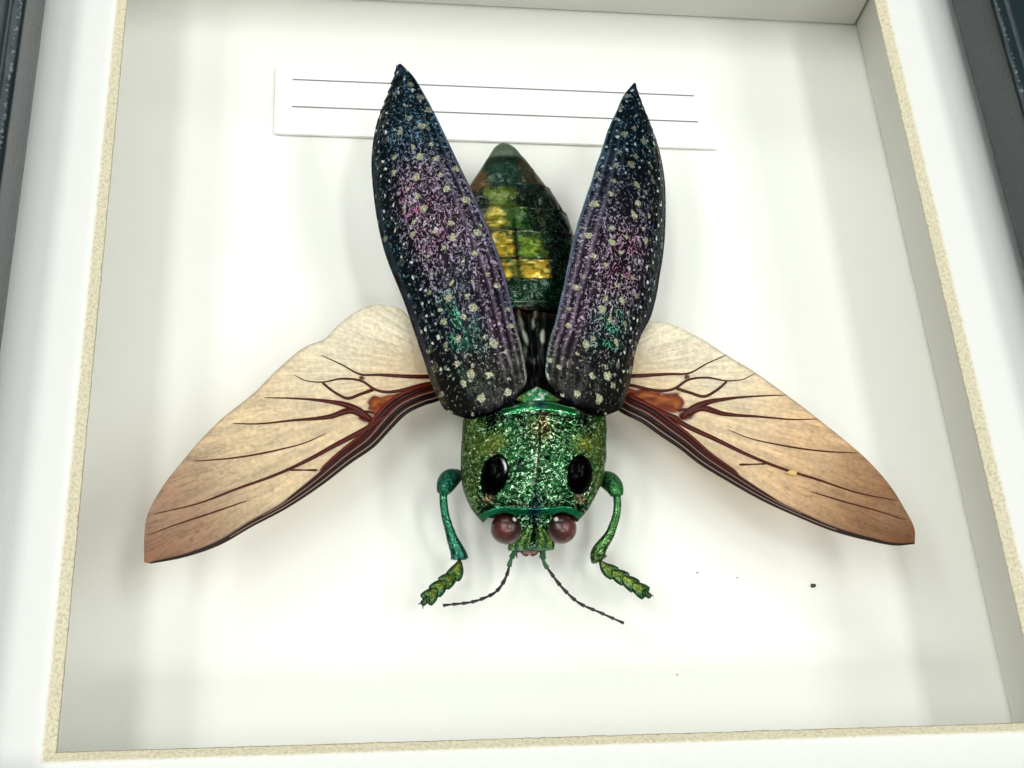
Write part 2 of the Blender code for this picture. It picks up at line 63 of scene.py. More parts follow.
class Side(Enum):
    """The two sides of the beetle and the case, as seen through the glass."""

    LEFT = -1
    RIGHT = 1

    @property
    def label(self) -> str:
        """The side's name as the nodes spell it."""
        return self.name.lower()


# --- numbers over whole arrays ---
def linear(hex_colour: str) -> Array:
    """Turn an sRGB hex colour into linear light.

    Args:
        hex_colour: six hex digits, red first.

    Returns:
        Red, green, blue and an alpha of one.
    """
    channels = np.array([int(hex_colour[i:i + 2], 16) / 255 for i in (0, 2, 4)])
    light = np.where(channels <= 0.04045, channels / 12.92, ((channels + 0.055) / 1.055) ** 2.4)
    return np.append(light, 1.0)


def smooth(low: float, high: float, value: Array) -> Array:
    """S curve from 0 at low to 1 at high: 3t^2 - 2t^3. High may be the lower of the two."""
    t = np.clip((np.asarray(value, float) - low) / (high - low), 0, 1)
    return t * t * (3 - 2 * t)


def ridge(value: Array, centre: float, width: float) -> Array:
    """Bell curve over one number: e to the minus squared distance from the centre, in widths."""
    return np.exp(-((value - centre) / width) ** 2)


def unit(vectors: Array) -> Array:
    """Vectors divided by their own lengths."""
    return vectors / np.linalg.norm(vectors, axis=-1, keepdims=True)


def full_turn(count: int) -> Array:
    """Evenly spaced angles round a circle, without the last one, which is the first again."""
    return np.linspace(0, 2 * np.pi, count, endpoint=False)


def eased(count: int) -> Array:
    """Shares from 0 to 1, close together at both ends: half of one minus a cosine."""
    return 0.5 - 0.5 * np.cos(np.linspace(0, np.pi, count))


def bell(x: Array, y: Array, centre: Pair, radii: Pair) -> Array:
    """Bell-shaped mark over a plane: the product of two ridges."""
    return ridge(x, centre[0], radii[0]) * ridge(y, centre[1], radii[1])


def band(value: Array, span: Pair, soft: float) -> Array:
    """Mark that is 1 inside a span and fades out over soft edges."""
    return smooth(span[0] - soft, span[0] + soft, value) * smooth(span[1] + soft, span[1] - soft, value)


def streak(plan: Array, start: tuple, stop: tuple, halves: Pair) -> Array:
    """Distance of places from a line between two points, in half widths that grow along it.

    Args:
        plan: (..., 2) places.
        start: the line's first point.
        stop: its last point.
        halves: half widths at its two ends.

    Returns:
        A number for each place.
    """
    start, along = np.array(start), np.subtract(stop, start)
    share = np.clip((plan - start) @ along / (along @ along), 0, 1)
    away = np.linalg.norm(plan - start - share[..., None] * along, axis=-1)
    return away / (halves[0] + (halves[1] - halves[0]) * share)


def painted(grid: Array, ground: Array | str, *layers: tuple[str, Array]) -> Array:
    """Lay colours over a ground, one after another.

    Args:
        grid: the points to paint.
        ground: hex colour of the ground, or the colours painted so far.
        layers: each layer's hex colour and its mask from 0 to 1.

    Returns:
        Linear red, green and blue for each point.
    """
    ground = linear(ground)[:3] if isinstance(ground, str) else ground
    tint = np.broadcast_to(ground, grid.shape).copy()
    for hex_colour, mask in layers:
        tint += (linear(hex_colour)[:3] - tint) * np.clip(mask, 0, 1)[..., None]
    return tint


def marked(grid: Array, red: Array | float = 0.0, green: Array | float = 0.0,
           blue: Array | float = 0.0) -> Array:
    """Three marks from 0 to 1 over a grid; each finish says what it does with them."""
    channels = [np.broadcast_to(np.asarray(mark, float), grid.shape[:-1]) for mark in (red, green, blue)]
    return np.clip(np.stack(channels, axis=-1), 0, 1)


def hermite(stations: Array, values: Array, at: Array) -> Array:
    """Smooth curve through values at rising stations: a cubic with averaged slopes.

    Args:
        stations: rising numbers.
        values: a value or a row of values for each station.
        at: where to read the curve.

    Returns:
        A value or a row for each place.
    """
    stations, values = np.asarray(stations, float), np.asarray(values, float)
    at = np.clip(np.asarray(at, float), stations[0], stations[-1])
    slopes = np.gradient(values, stations, axis=0)
    i = np.clip(np.searchsorted(stations, at) - 1, 0, len(stations) - 2)
    step = stations[i + 1] - stations[i]
    u = (at - stations[i]) / step
    if values.ndim > 1:
        u, step = u[:, None], step[:, None]
    start = (1 + 2 * u) * (1 - u) ** 2 * values[i] + u * (1 - u) ** 2 * step * slopes[i]
    end = u ** 2 * (3 - 2 * u) * values[i + 1] + u ** 2 * (u - 1) * step * slopes[i + 1]
    return start + end


def along_line(points: Array, shares: Array) -> Array:
    """Places on a smooth line through points, by shares of its length.

    Args:
        points: the line's own points.
        shares: from 0 to 1.

    Returns:
        A point for each share.
    """
    points = np.asarray(points, float)
    steps = np.linalg.norm(np.diff(points, axis=0), axis=1)
    return hermite(np.concatenate([[0], np.cumsum(steps)]) / steps.sum(), points, shares)


def lattice_random(corner: Array, seed: int) -> Array:
    """Fixed random number from 0 to 1 for each whole-numbered lattice corner, by an integer hash.

    Args:
        corner: (..., 3) whole numbers.
        seed: which noise.

    Returns:
        A number for each corner.
    """
    word = corner[..., 0] * 374761393 + corner[..., 1] * 668265263 + corner[..., 2] * 1440662683
    word = (word + seed * 974634777) & 0xFFFFFFFF
    word = ((word ^ (word >> 13)) * 1274126177) & 0xFFFFFFFF
    return ((word ^ (word >> 16)) & 0xFFFFFF) / 0xFFFFFF


def grain(places: Array, pitch: float, seed: int) -> Array:
    """Smooth noise from 0 to 1: random lattice values blended along S curves.

    Args:
        places: (..., 3) points.
        pitch: spacing of the lattice, in the same unit.
        seed: which noise.

    Returns:
        A number for each point.
    """
    scaled = places / pitch
    cell = np.floor(scaled).astype(np.int64)
    u = scaled - cell
    u = u * u * (3 - 2 * u)
    total = np.zeros(places.shape[:-1])
    for corner in product((0, 1), repeat=3):
        share = np.where(np.array(corner, bool), u, 1 - u).prod(axis=-1)
        total += share * lattice_random(cell + np.array(corner), seed)
    return total


def drift(places: Array, pitch: float, seed: int) -> Array:
    """The same noise about 0, from -0.5 to 0.5."""
    return grain(places, pitch, seed) - 0.5


def pits(places: Array, pitch: float, seed: int) -> Array:
    """Distance, in pitches, to the nearest of one random point in each lattice cell.

    Args:
        places: (..., 3) points.
        pitch: spacing of the lattice, in the same unit.
        seed: which noise.

    Returns:
        A number for each point.
    """
    scaled = places / pitch
    home = np.floor(scaled).astype(np.int64)
    nearest = np.full(places.shape[:-1], 9.0)
    for offset in product((-1, 0, 1), repeat=3):
        cell = home + np.array(offset)
        jitter = np.stack([lattice_random(cell, seed + i) for i in range(3)], axis=-1)
        nearest = np.minimum(nearest, np.linalg.norm(cell + jitter - scaled, axis=-1))
    return nearest


def raised(grid: Array, height: Array) -> Array:
    """Move each point of closed rings along its normal, the cross product of the steps along and round.

    Args:
        grid: (rows, columns, 3) points of the rings.
        height: how far out each point moves.

    Returns:
        The moved points.
    """
    along = np.gradient(grid, axis=0)
    around = (np.roll(grid, -1, axis=1) - np.roll(grid, 1, axis=1)) / 2
    normals = np.cross(along, around)
    normals /= np.linalg.norm(normals, axis=-1, keepdims=True) + 1e-12
    outward = grid - grid.mean(axis=1, keepdims=True)
    turn = 1 if (normals * outward).sum() > 0 else -1
    return grid + normals * turn * height[..., None]


def ring_turns(upper: int, lower: int) -> Array:
    """Angles round a section: close together over the back, wide apart under the belly.

    Args:
        upper: how many over the back.
        lower: how many under the belly.

    Returns:
        Rising angles.
    """
    dip = 0.25
    over = np.linspace(-dip, np.pi + dip, upper, endpoint=False)
    under = np.linspace(np.pi + dip, 2 * np.pi - dip, lower, endpoint=False)
    return np.concatenate([over, under])


def body_rings(stations: tuple, y: Array, turn: Array, power: float) -> tuple[Array, Array, Array]:
    """Cross-sections along the body: superellipses about their side edge.

    Across is sign(cos) |cos|^(2/power), upward the same of the sine. Back and belly have
    their own heights over and under the side edge.

    Args:
        stations: rows of y, middle x, half width, height of side edge, back and belly.
        y: where to cut.
        turn: angles round a section.
        power: 2 is an ellipse, more is squarer.

    Returns:
        (cuts, angles, 3) points, their distance from the middle line, and their Y.
    """
    table = np.array(stations)
    middle, half, side, back, belly = hermite(table[:, 0], table[:, 1:], y).T
    across = np.sign(np.cos(turn)) * np.abs(np.cos(turn)) ** (2 / power)
    upward = np.sign(np.sin(turn)) * np.abs(np.sin(turn)) ** (2 / power)
    off = half[:, None] * across
    rise = np.where(upward > 0, (back - side)[:, None], (side - belly)[:, None])
    rows = np.broadcast_to(y[:, None], off.shape)
    return np.stack([middle[:, None] + off, rows, side[:, None] + rise * upward], axis=2), off, rows


def limb_rings(points: Array, shares: Array, half_widths: Array, half_heights: Array,
               sides: int, lift: float = 0.0) -> Array:
    """Oval sections along a smooth line, each wide across the line and level.

    Args:
        points: the line's own points, base first.
        shares: where the sections stand, from 0 to 1 of the line.
        half_widths: of each section.
        half_heights: of each section.
        sides: points round a section.
        lift: how far the sections stand over the line.

    Returns:
        (sections, sides, 3) points.
    """
    step = 0.01
    before, after = np.maximum(shares - step, 0), np.minimum(shares + step, 1)
    ahead = unit(along_line(points, after) - along_line(points, before))
    across = unit(np.cross(ahead, (0, 0, 1)))
    upward = np.cross(across, ahead)
    turn = full_turn(sides)
    return ((along_line(points, shares) + upward * lift)[:, None]
            + across[:, None] * (half_widths[:, None] * np.cos(turn))[..., None]
            + upward[:, None] * (half_heights[:, None] * np.sin(turn))[..., None])


def ball_rings(rows: int, sides: int) -> Array:
    """Unit ball as rings round its vertical axis, open a little at both poles.

    Args:
        rows: how many rings.
        sides: points round a ring.

    Returns:
        (rows, sides, 3) points.
    """
    polar = np.linspace(0.03, np.pi - 0.03, rows)[:, None]
    turn = full_turn(sides)
    upward = np.broadcast_to(np.cos(polar), (rows, sides))
    return np.stack([np.sin(polar) * np.cos(turn), np.sin(polar) * np.sin(turn), upward], axis=2)


def rounded(within: Array, part: float) -> Array:
    """Half width of a rod with round ends: a quarter circle over a part of it at each end."""
    inside = (1 - np.minimum(within, 1 - within) / part).clip(0)
    return np.sqrt(np.clip(1 - inside ** 2, 0.01, 1))


# --- solids ---
@dataclass
class Solid:
    """A closed mesh in millimetres, with fields painted on its points."""

    points: Array  # (n, 3) places
    quads: Array  # (m, 4) corners of the four-sided faces
    triangles: Array  # (k, 3) corners of the three-sided faces
    paint: dict[str, Array]  # name of each field and its (n, 3) numbers

    def outward(self) -> "Solid":
        """Turn every face round if the signed volume of the mesh is negative."""
        corners = np.concatenate([self.quads[:, :3], self.quads[:, [0, 2, 3]], self.triangles])
        a, b, c = (self.points[corners[:, i]] for i in range(3))
        if (a * np.cross(b, c)).sum() < 0:
            self.quads = self.quads[:, ::-1]
            self.triangles = self.triangles[:, ::-1]
        return self


def tube(rings: Array, tint: Array | str, marks: Array | None = None, flow: Array | None = None,
         poles: Array | None = None) -> Solid:
    """Skin a row of closed rings and close both ends at a pole.

    Args:
        rings: (rows, columns, 3) points.
        tint: colours over the same grid, or one hex colour.
        marks: marks over it, if any.
        flow: places over it that a pattern follows, if any.
        poles: the end points, or None for the end rings' middles.

    Returns:
        The closed solid, its faces outward.
    """
    count, sides = rings.shape[:2]
    index = np.arange(count * sides).reshape(count, sides)
    after = np.roll(index, -1, axis=1)
    quads = np.stack([index[:-1], after[:-1], after[1:], index[1:]], axis=-1).reshape(-1, 4)
    first, last = np.full(sides, count * sides), np.full(sides, count * sides + 1)
    triangles = np.concatenate([
        np.stack([after[0], index[0], first], axis=1),
        np.stack([index[-1], after[-1], last], axis=1),
    ])
    poles = rings[[0, -1]].mean(axis=1) if poles is None else poles
    paint = {
        "tint": painted(rings, tint) if isinstance(tint, str) else tint,
        "marks": marked(rings) if marks is None else marks,
    }
    if flow is not None:
        paint["flow"] = flow
    paint = {
        name: np.concatenate([field.reshape(-1, 3), field[[0, -1]].mean(axis=1)])
        for name, field in paint.items()
    }
    return Solid(np.concatenate([rings.reshape(-1, 3), poles]), quads, triangles, paint).outward()


def hoop(grid: Array, marks: Array) -> Solid:
    """Skin a grid that is closed both ways: a closed profile carried round a closed path.

    Args:
        grid: (rows, columns, 3) points.
        marks: marks over it.

    Returns:
        The closed solid, its faces outward.
    """
    index = np.arange(grid.shape[0] * grid.shape[1]).reshape(grid.shape[:2])
    below, after = np.roll(index, -1, axis=0), np.roll(index, -1, axis=1)
    quads = np.stack([index, after, np.roll(below, -1, axis=1), below], axis=-1).reshape(-1, 4)
    paint = {"marks": marks.reshape(-1, 3)}
    return Solid(grid.reshape(-1, 3), quads, np.zeros((0, 3), int), paint).outward()


def joined(solids: list[Solid]) -> Solid:
    """Put several solids with the same fields into one mesh.

    Args:
        solids: the solids.

    Returns:
        One solid.
    """
    starts = np.cumsum([0] + [len(s.points) for s in solids[:-1]])
    return Solid(
        np.concatenate([s.points for s in solids]),
        np.concatenate([s.quads + start for s, start in zip(solids, starts)]),
        np.concatenate([s.triangles + start for s, start in zip(solids, starts)]),
        {name: np.concatenate([s.paint[name] for s in solids]) for name in solids[0].paint},
    )


def add_piece(name: str, solid: Solid, material: Material, slot: str, *nodes: str) -> None:
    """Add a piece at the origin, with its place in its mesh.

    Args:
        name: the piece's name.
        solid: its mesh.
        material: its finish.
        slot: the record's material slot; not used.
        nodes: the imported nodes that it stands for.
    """
    mesh = bpy.data.meshes.new(name)
    mesh.vertices.add(len(solid.points))
    mesh.vertices.foreach_set("co", (solid.points * MM).astype(np.float32).ravel())
    corners = np.concatenate([solid.quads.ravel(), solid.triangles.ravel()])
    sizes = np.concatenate([np.full(len(solid.quads), 4), np.full(len(solid.triangles), 3)])
    mesh.loops.add(len(corners))
    mesh.loops.foreach_set("vertex_index", corners.astype(np.int32))
    mesh.polygons.add(len(sizes))
    mesh.polygons.foreach_set("loop_start", (np.cumsum(sizes) - sizes).astype(np.int32))
    mesh.polygons.foreach_set("loop_total", sizes.astype(np.int32))
    mesh.update(calc_edges=True)
    mesh.validate()
    mesh.shade_smooth()
    for field, values in solid.paint.items():
        attribute = mesh.attributes.new(field, "FLOAT_COLOR", "POINT")
        coloured = np.concatenate([values, np.ones((len(values), 1))], axis=1)
        attribute.data.foreach_set("color", coloured.astype(np.float32).ravel())
    mesh.materials.append(material)
    piece = bpy.data.objects.new(name, mesh)
    bpy.context.scene.collection.objects.link(piece)
    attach(piece, "root")
    if nodes:
        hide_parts(*nodes)
    log.info("%s: %d triangles", name, 2 * len(solid.quads) + len(solid.triangles))


def dress_node(node: str, material: Material) -> None:
    """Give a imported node, whose shape stays, its finished material.

    Args:
        node: its name.
        material: the finish.
    """
    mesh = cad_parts[node].data
    mesh.materials.clear()
    mesh.materials.append(material)
    log.info("%s: packed shape with %s", node, material.name)


# --- finishes ---
MAIN_FIELDS = {"Attribute": "attribute_name", "MapRange": "interpolation_type", "Math": "operation",
               "Mix": "data_type", "TexVoronoi": "voronoi_dimensions", "VectorMath": "operation"}


def add_node(tree: bpy.types.NodeTree, kind: str, *inputs: object, output: str | None = None,
             **named: object) -> Socket | None:
    """Add one shader node. An input gets the output that feeds it, a value or a hex colour.

    Args:
        tree: the material's nodes.
        kind: the node's kind, and its main choice after a space, as in "Math ADD".
        inputs: for the inputs in use, in their order.
        output: the wanted output, if it isn't the first one in use.
        named: inputs by name, _ for a space, and the node's own fields, in small letters.

    Returns:
        The wanted output, or None where the node has none.
    """
    kind, _, choice = kind.partition(" ")
    node = tree.nodes.new("ShaderNode" + kind)
    if choice:
        setattr(node, MAIN_FIELDS[kind], choice)
    sockets = [socket for socket in node.inputs if socket.enabled]
    fed = list(zip(sockets, inputs))
    for name, value in named.items():
        if name[0].isupper():
            fed.append((next(s for s in sockets if s.name == name.replace("_", " ")), value))
        else:
            setattr(node, name, value)
    for socket, value in fed:
        if isinstance(value, Socket):
            tree.links.new(value, socket)
        else:
            socket.default_value = tuple(linear(value)) if isinstance(value, str) else value
    return node.outputs[output] if output else next((s for s in node.outputs if s.enabled), None)


class Finish:
    """A real material and how it was made, which its name says."""

    name: str

    def surface(self, add: Adder, place: Socket) -> Socket:
        """Make the shader. Each finish has its own, with the same arguments and result.

        Args:
            add: adds a node to the material, as add_node does.
            place: object coordinates, in metres.

        Returns:
            The shader's output.
        """
        raise NotImplementedError

    def build(self) -> Material:
        """Make the material around the shader."""
        material = bpy.data.materials.new(self.name)
        material.use_nodes = True
        material.node_tree.nodes.clear()
        add = partial(add_node, material.node_tree)
        add("OutputMaterial", Surface=self.surface(add, add("TexCoord", output="Object")))
        return material


@dataclass(frozen=True)
class PaintedWood(Finish):
    """Beech moulding, sprayed with satin black paint and rubbed at its edges.

    The eye gets a near-black face with a cold teal cast, fine pores under the paint and pale
    fibre where an edge has rubbed through.
    """

    name: str = "satin black paint on beech moulding"
    paint: str = "0A181C"
    haze: str = "162A2E"
    fibre: str = "8E9490"
    pore_pitch: float = 0.5

    def surface(self, add: Adder, place: Socket) -> Socket:
        """Paint over stretched pores, with bare fibre where the wear mark, red, is set."""
        cloud = add("TexNoise", place, 60.0, 3.0)
        pores = add("TexNoise", place, 1 / (self.pore_pitch * MM), 4.0)
        worn = add("SeparateColor", add("Attribute marks"))
        ragged = add("Math MULTIPLY", worn, pores)
        bare = add("MapRange SMOOTHSTEP", ragged, 0.50, 0.62, 0, 0.45)
        coat = add("Mix RGBA", cloud, self.paint, self.haze)
        colour = add("Mix RGBA", bare, coat, self.fibre)
        rough = add("MapRange", pores, 0, 1, 0.22, 0.42)
        bump = add("Bump", Height=pores, Distance=0.04 * MM, Strength=0.6)
        return add("BsdfPrincipled", Base_Color=colour, Roughness=rough, Normal=bump)


@dataclass(frozen=True)
class PictureGlass(Finish):
    """Float glass with a low-reflection coat, as framers use.

    The eye looks straight through it and gets only a faint sheen at a low angle.
    """

    name: str = "low-reflection float glass"
    body: str = "FDFEFD"

    def surface(self, add: Adder, place: Socket) -> Socket:
        """Clear transparency, with a thin mirror share by Fresnel's law."""
        clear = add("BsdfTransparent", Color=self.body)
        sheen = add("BsdfGlossy", Roughness=0.02, Color="FFFFFF")
        share = add("Fresnel", IOR=1.03)
        return add("MixShader", share, clear, sheen)


@dataclass(frozen=True)
class Board(Finish):
    """Pressed paper board: mat, foam board facing, backing card or fibreboard.

    The eye gets a matt sheet with faint clouds, a fine tooth and a few flecks. A mat board
    shows its granular cream core where the mark, red, is 1.
    """

    name: str
    face: str
    cloud: str
    tooth_pitch: float = 0.35
    tooth_depth: float = 0.02
    fleck: str = "8C8474"
    fleck_share: float = 0.0
    core: str | None = None
    pulp: str = "CFC3A2"

    def surface(self, add: Adder, place: Socket) -> Socket:
        """Face colour drifting to the cloud colour, with flecks or pulp where fine noise peaks."""
        clouds = add("TexNoise", place, 45.0, 4.0)
        tooth = add("TexNoise", place, 1 / (self.tooth_pitch * MM), 5.0, 0.65)
        colour = add("Mix RGBA", clouds, self.face, self.cloud)
        if self.fleck_share:
            peak = add("MapRange SMOOTHSTEP", tooth, 0.62, 0.75, 0, self.fleck_share)
            colour = add("Mix RGBA", peak, colour, self.fleck)
        if self.core:
            cut = add("SeparateColor", add("Attribute marks"))
            mottle = add("MapRange SMOOTHSTEP", tooth, 0.4, 0.7)
            pulp = add("Mix RGBA", mottle, self.core, self.pulp)
            colour = add("Mix RGBA", cut, colour, pulp)
        bump = add("Bump", Height=tooth, Distance=self.tooth_depth * MM, Strength=0.75)
        return add("BsdfPrincipled", Base_Color=colour, Roughness=0.92, Specular_IOR_Level=0.25, Normal=bump)


@dataclass(frozen=True)
class RuledPaper(Finish):
    """White writing paper with thin printed rules and no lettering.

    The eye gets a bright strip with a few even grey lines, as on an unfilled label.
    """

    name: str = "white paper with printed rules"
    sheet: str = "FBFAF7"
    ink: str = "4A4A4C"
    first_rule: float = 31.4
    rule_pitch: float = 3.9
    rule_width: float = 0.16
    span_x: Pair = (-24.6, 23.2)
    last_rule: float = 36.6

    def surface(self, add: Adder, place: Socket) -> Socket:
        """Ink where Y is within half a rule's width of a whole pitch, inside the margins."""
        x, y = (add("SeparateXYZ", place, output=axis) for axis in "XY")
        row = add("Math MULTIPLY_ADD", y, 1 / (self.rule_pitch * MM),
                  0.5 - self.first_rule / self.rule_pitch)
        within = add("Math FRACT", row)
        gap = add("Math ABSOLUTE", add("Math SUBTRACT", within, 0.5))
        half = self.rule_width / self.rule_pitch / 2
        fence = add("MapRange", gap, half, half * 1.6, 0.85, 0.0)
        for axis, low, high in ((x, *self.span_x), (y, self.first_rule - 0.5, self.last_rule)):
            for edge, kind in ((low, "GREATER_THAN"), (high, "LESS_THAN")):
                test = add(f"Math {kind}", axis, edge * MM)
                fence = add("Math MULTIPLY", fence, test)
        tooth = add("TexNoise", place, 4000.0, 4.0)
        colour = add("Mix RGBA", fence, self.sheet, self.ink)
        bump = add("Bump", Height=tooth, Distance=0.01 * MM)
        return add("BsdfPrincipled", Base_Color=colour, Roughness=0.9, Specular_IOR_Level=0.25, Normal=bump)


@dataclass(frozen=True)
class ZincPlate(Finish):
    """Mild steel strip, stamped and bright zinc plated.

    The eye gets a cool grey metal with rolled streaks and a slightly clouded gloss.
    """

    name: str = "zinc-plated stamped steel"
    metal: str = "B4B7BA"

    def surface(self, add: Adder, place: Socket) -> Socket:
        """Metal whose roughness follows streaks along Y."""
        stretch = add("Mapping", place, Scale=(3000.0, 220.0, 3000.0))
        streaks = add("TexNoise", stretch, 1.0, 4.0)
        rough = add("MapRange", streaks, 0, 1, 0.22, 0.5)
        bump = add("Bump", Height=streaks, Distance=0.01 * MM)
        return add("BsdfPrincipled", Base_Color=self.metal, Metallic=1.0, Roughness=rough, Normal=bump)


@dataclass(frozen=True)
class DriedGlue(Finish):
    """Clear glue, dried in a low blob.

    The eye gets a yellowish, half clear drop with a soft skin.
    """

    name: str = "dried clear glue"
    body: str = "E8E2D0"

    def surface(self, add: Adder, place: Socket) -> Socket:
        """Soft gloss over a pale body with slight subsurface light."""
        swirl = add("TexNoise", place, 700.0, 3.0)
        rough = add("MapRange", swirl, 0, 1, 0.2, 0.45)
        return add("BsdfPrincipled", Base_Color=self.body, Roughness=rough, Subsurface_Weight=0.3,
                   Subsurface_Scale=0.5 * MM)


@dataclass(frozen=True)
class Cuticle(Finish):
    """Beetle shell: layered chitin that shines like metal, cast with pits and short wavy ridges.

    The painted tint is its colour. Marks: red smooths the pits away, green dulls the shine as
    dust and fine hair do, blue darkens, for the false eyes' own black and for painted shade. The eye
    gets pale crests, the real 0.2 to 0.4 mm apart, whose pale colour is a painted highlight, on
    coloured flanks between nearly black pits, whose darkness is painted shade.
    """

    name: str
    pit_pitch: float
    pit_depth: float = 0.06
    # Colour of the painted shade in the pits.
    shadow: str = "010903"
    # How much of that painted shade the pits get.
    pit_shade: float = 0.96
    # How strong the painted highlight on the crests is; pale is its colour.
    crest_highlight: float = 0.8
    pale: str = "E4F4DE"
    shine: float = 0.85
    roughness: float = 0.2
    coat: float = 0.35

    def surface(self, add: Adder, place: Socket) -> Socket:
        """Metal under a wax coat; a ridge runs where a noise crosses its middle value."""
        tint, marks = add("Attribute tint"), add("Attribute marks")
        even, dusty, dark = (add("SeparateColor", marks, output=c) for c in ("Red", "Green", "Blue"))
        coarse = add("Math SUBTRACT", 1.0, even)
        scale = 1 / (self.pit_pitch * MM)
        wave = add("TexNoise", place, scale * 0.75, 1.0, Distortion=0.7)
        gap = add("Math ABSOLUTE", add("Math SUBTRACT", wave, 0.5))
        breaks = add("TexNoise", place, scale * 1.1, 1.0)
        kept = add("MapRange SMOOTHSTEP", breaks, 0.36, 0.50)
        flank = add("Math MULTIPLY", add("MapRange SMOOTHSTEP", gap, 0.03, 0.11, 1.0, 0.0), kept)
        # Crests get the pale colour: a painted highlight.
        top = add("MapRange SMOOTHSTEP", gap, 0.012, 0.045, self.crest_highlight, 0.0)
        shown = add("MapRange SMOOTHSTEP", breaks, 0.40, 0.52)
        for share in (shown, coarse, add("Math SUBTRACT", 1.0, dusty)):
            top = add("Math MULTIPLY", top, share)
        # Pits between the ridges are painted nearly black: painted shade.
        pit = add("Math MULTIPLY", add("Math SUBTRACT", 1.0, flank), coarse)
        cloud = add("TexNoise", place, scale * 0.22, 2.0)
        patchy = add("MapRange", cloud, 0.35, 0.65, self.pit_shade * 0.8, self.pit_shade)
        shade = add("Math MULTIPLY", pit, patchy)

        pitted = add("Mix RGBA", shade, tint, self.shadow)
        pale = add("Mix RGBA", 0.62, tint, self.pale)
        crested = add("Mix RGBA", top, pitted, pale)
        # The blue mark blackens: the false eyes' own black and painted shade.
        colour = add("Mix RGBA", dark, crested, "030303")
        metal = add("MapRange", dusty, 0, 1, self.shine, 0.3)
        metal = add("Math MULTIPLY", metal, add("Math MULTIPLY_ADD", top, -0.6, 1.0))
        rough = add("MapRange", dusty, 0, 1, self.roughness, 0.55)
        rippled = add("Math MULTIPLY_ADD", breaks, 0.3, add("Math MULTIPLY", pit, -1.0))
        bump = add("Bump", Height=rippled, Distance=self.pit_depth * MM, Strength=1.0)
        bare = add("Math MAXIMUM", shade, dark)
        wax = add("MapRange", bare, 0, 1, self.coat, 0.02)
        return add("BsdfPrincipled", Base_Color=colour, Metallic=metal, Roughness=rough, Normal=bump,
                   Specular_IOR_Level=0.3, Specular_Tint="8C9C8C", Coat_Weight=wax, Coat_Roughness=0.08,
                   Coat_Normal=bump)


@dataclass(frozen=True)
class WingCaseShell(Finish):
    """Wing case: dark chitin with fine bright wrinkles and pale scaly spots.

    The painted tint colours the wrinkles. Marks: red is how strong they are, green how many
    small dots there are, blue where plain tint shows instead of spots. The flow field gives
    places along and across the wing case in millimetres. The eye gets violet and blue-white
    lines about 0.1 mm wide on black, and ragged cream spots.
    """

    name: str = "violet-black wing case"
    ground: str = "020206"
    spot: str = "B9BA9C"
    dot: str = "DCE0DA"
    wrinkle_pitch: float = 0.36
    spot_pitch: float = 1.8
    spot_radii: Pair = (0.07, 0.22)
    dot_pitch: float = 0.85
    dot_radii: Pair = (0.06, 0.17)

    def surface(self, add: Adder, place: Socket) -> Socket:
        """Wrinkles where a noise crosses its middle value, then dots, then spots."""
        tint, marks, flow = (add(f"Attribute {n}") for n in ("tint", "marks", "flow"))
        strong, dotty, plain = (add("SeparateColor", marks, output=c) for c in ("Red", "Green", "Blue"))
        stir = add("TexNoise", flow, 2.6, 3.0, output="Color")
        push = add("VectorMath SUBTRACT", stir, (0.5, 0.5, 0.5))
        warped = add("VectorMath MULTIPLY_ADD", push, (0.6, 0.6, 0.0), flow)
        long = add("Mapping", flow, Scale=(0.6, 1.2, 1.0))
        wave = add("TexNoise", long, 0.9 / self.wrinkle_pitch, 1.5, Distortion=0.9)
        gap = add("Math ABSOLUTE", add("Math SUBTRACT", wave, 0.5))
        breaks = add("TexNoise", flow, 1.2 / self.wrinkle_pitch, 1.0)
        sparse = add("MapRange", strong, 0, 1, 0.63, 0.33)
        spare = add("Math SUBTRACT", breaks, sparse)
        kept = add("MapRange SMOOTHSTEP", spare, 0.0, 0.09)
        line = add("MapRange SMOOTHSTEP", gap, 0.018, 0.06, 1.0, 0.0)
        net = add("Math MULTIPLY", line, kept)
        body = add("MapRange", plain, 0, 1, 0.04, 0.9)
        ground = add("Mix RGBA", body, self.ground, tint)
        colour = add("Mix RGBA", net, ground, tint)

        fray = add("TexNoise", flow, 6.5, 2.0)
        blots = []
        for pitch, stretch, radii in ((self.dot_pitch, 0.6, self.dot_radii),
                                      (self.spot_pitch, 0.9, self.spot_radii)):
            drawn = add("Mapping", warped, Scale=(stretch, 1.0, 1.0))
            far, cell = (add("TexVoronoi 2D", drawn, 1 / pitch, Randomness=0.75, output=kind)
                         for kind in ("Distance", "Color"))
            luck = add("SeparateColor", cell)
            reach = add("MapRange", luck, 0, 1, radii[0], radii[1])
            inside = add("Math SUBTRACT", reach, far)
            ragged = add("Math MULTIPLY_ADD", fray, 0.16, inside)
            blots.append(add("MapRange SMOOTHSTEP", ragged, 0.06, 0.13))
        dots = add("Math MULTIPLY", blots[0], dotty)
        calm = add("Math MAXIMUM", plain, add("Math MULTIPLY", dotty, 0.85))
        spots = add("Math MULTIPLY", blots[1], add("Math SUBTRACT", 1.0, calm))
        speck = add("MapRange", fray, 0.36, 0.66, 0.25, 1.25)
        scaly = add("VectorMath SCALE", tuple(linear(self.spot)[:3]), speck)
        colour = add("Mix RGBA", dots, colour, self.dot)
        colour = add("Mix RGBA", spots, colour, scaly)
        pale = add("Math MAXIMUM", add("Math MAXIMUM", dots, spots), net)
        metal = add("MapRange", pale, 0, 1, 0.7, 0.15)
        rough = add("MapRange", pale, 0, 1, 0.3, 0.5)
        bump = add("Bump", Height=net, Distance=0.06 * MM)
        return add("BsdfPrincipled", Base_Color=colour, Metallic=metal, Roughness=rough, Normal=bump,
                   Specular_IOR_Level=0.15, Specular_Tint="5A6070", Coat_Weight=0.03, Coat_Roughness=0.1,
                   Coat_Normal=bump)


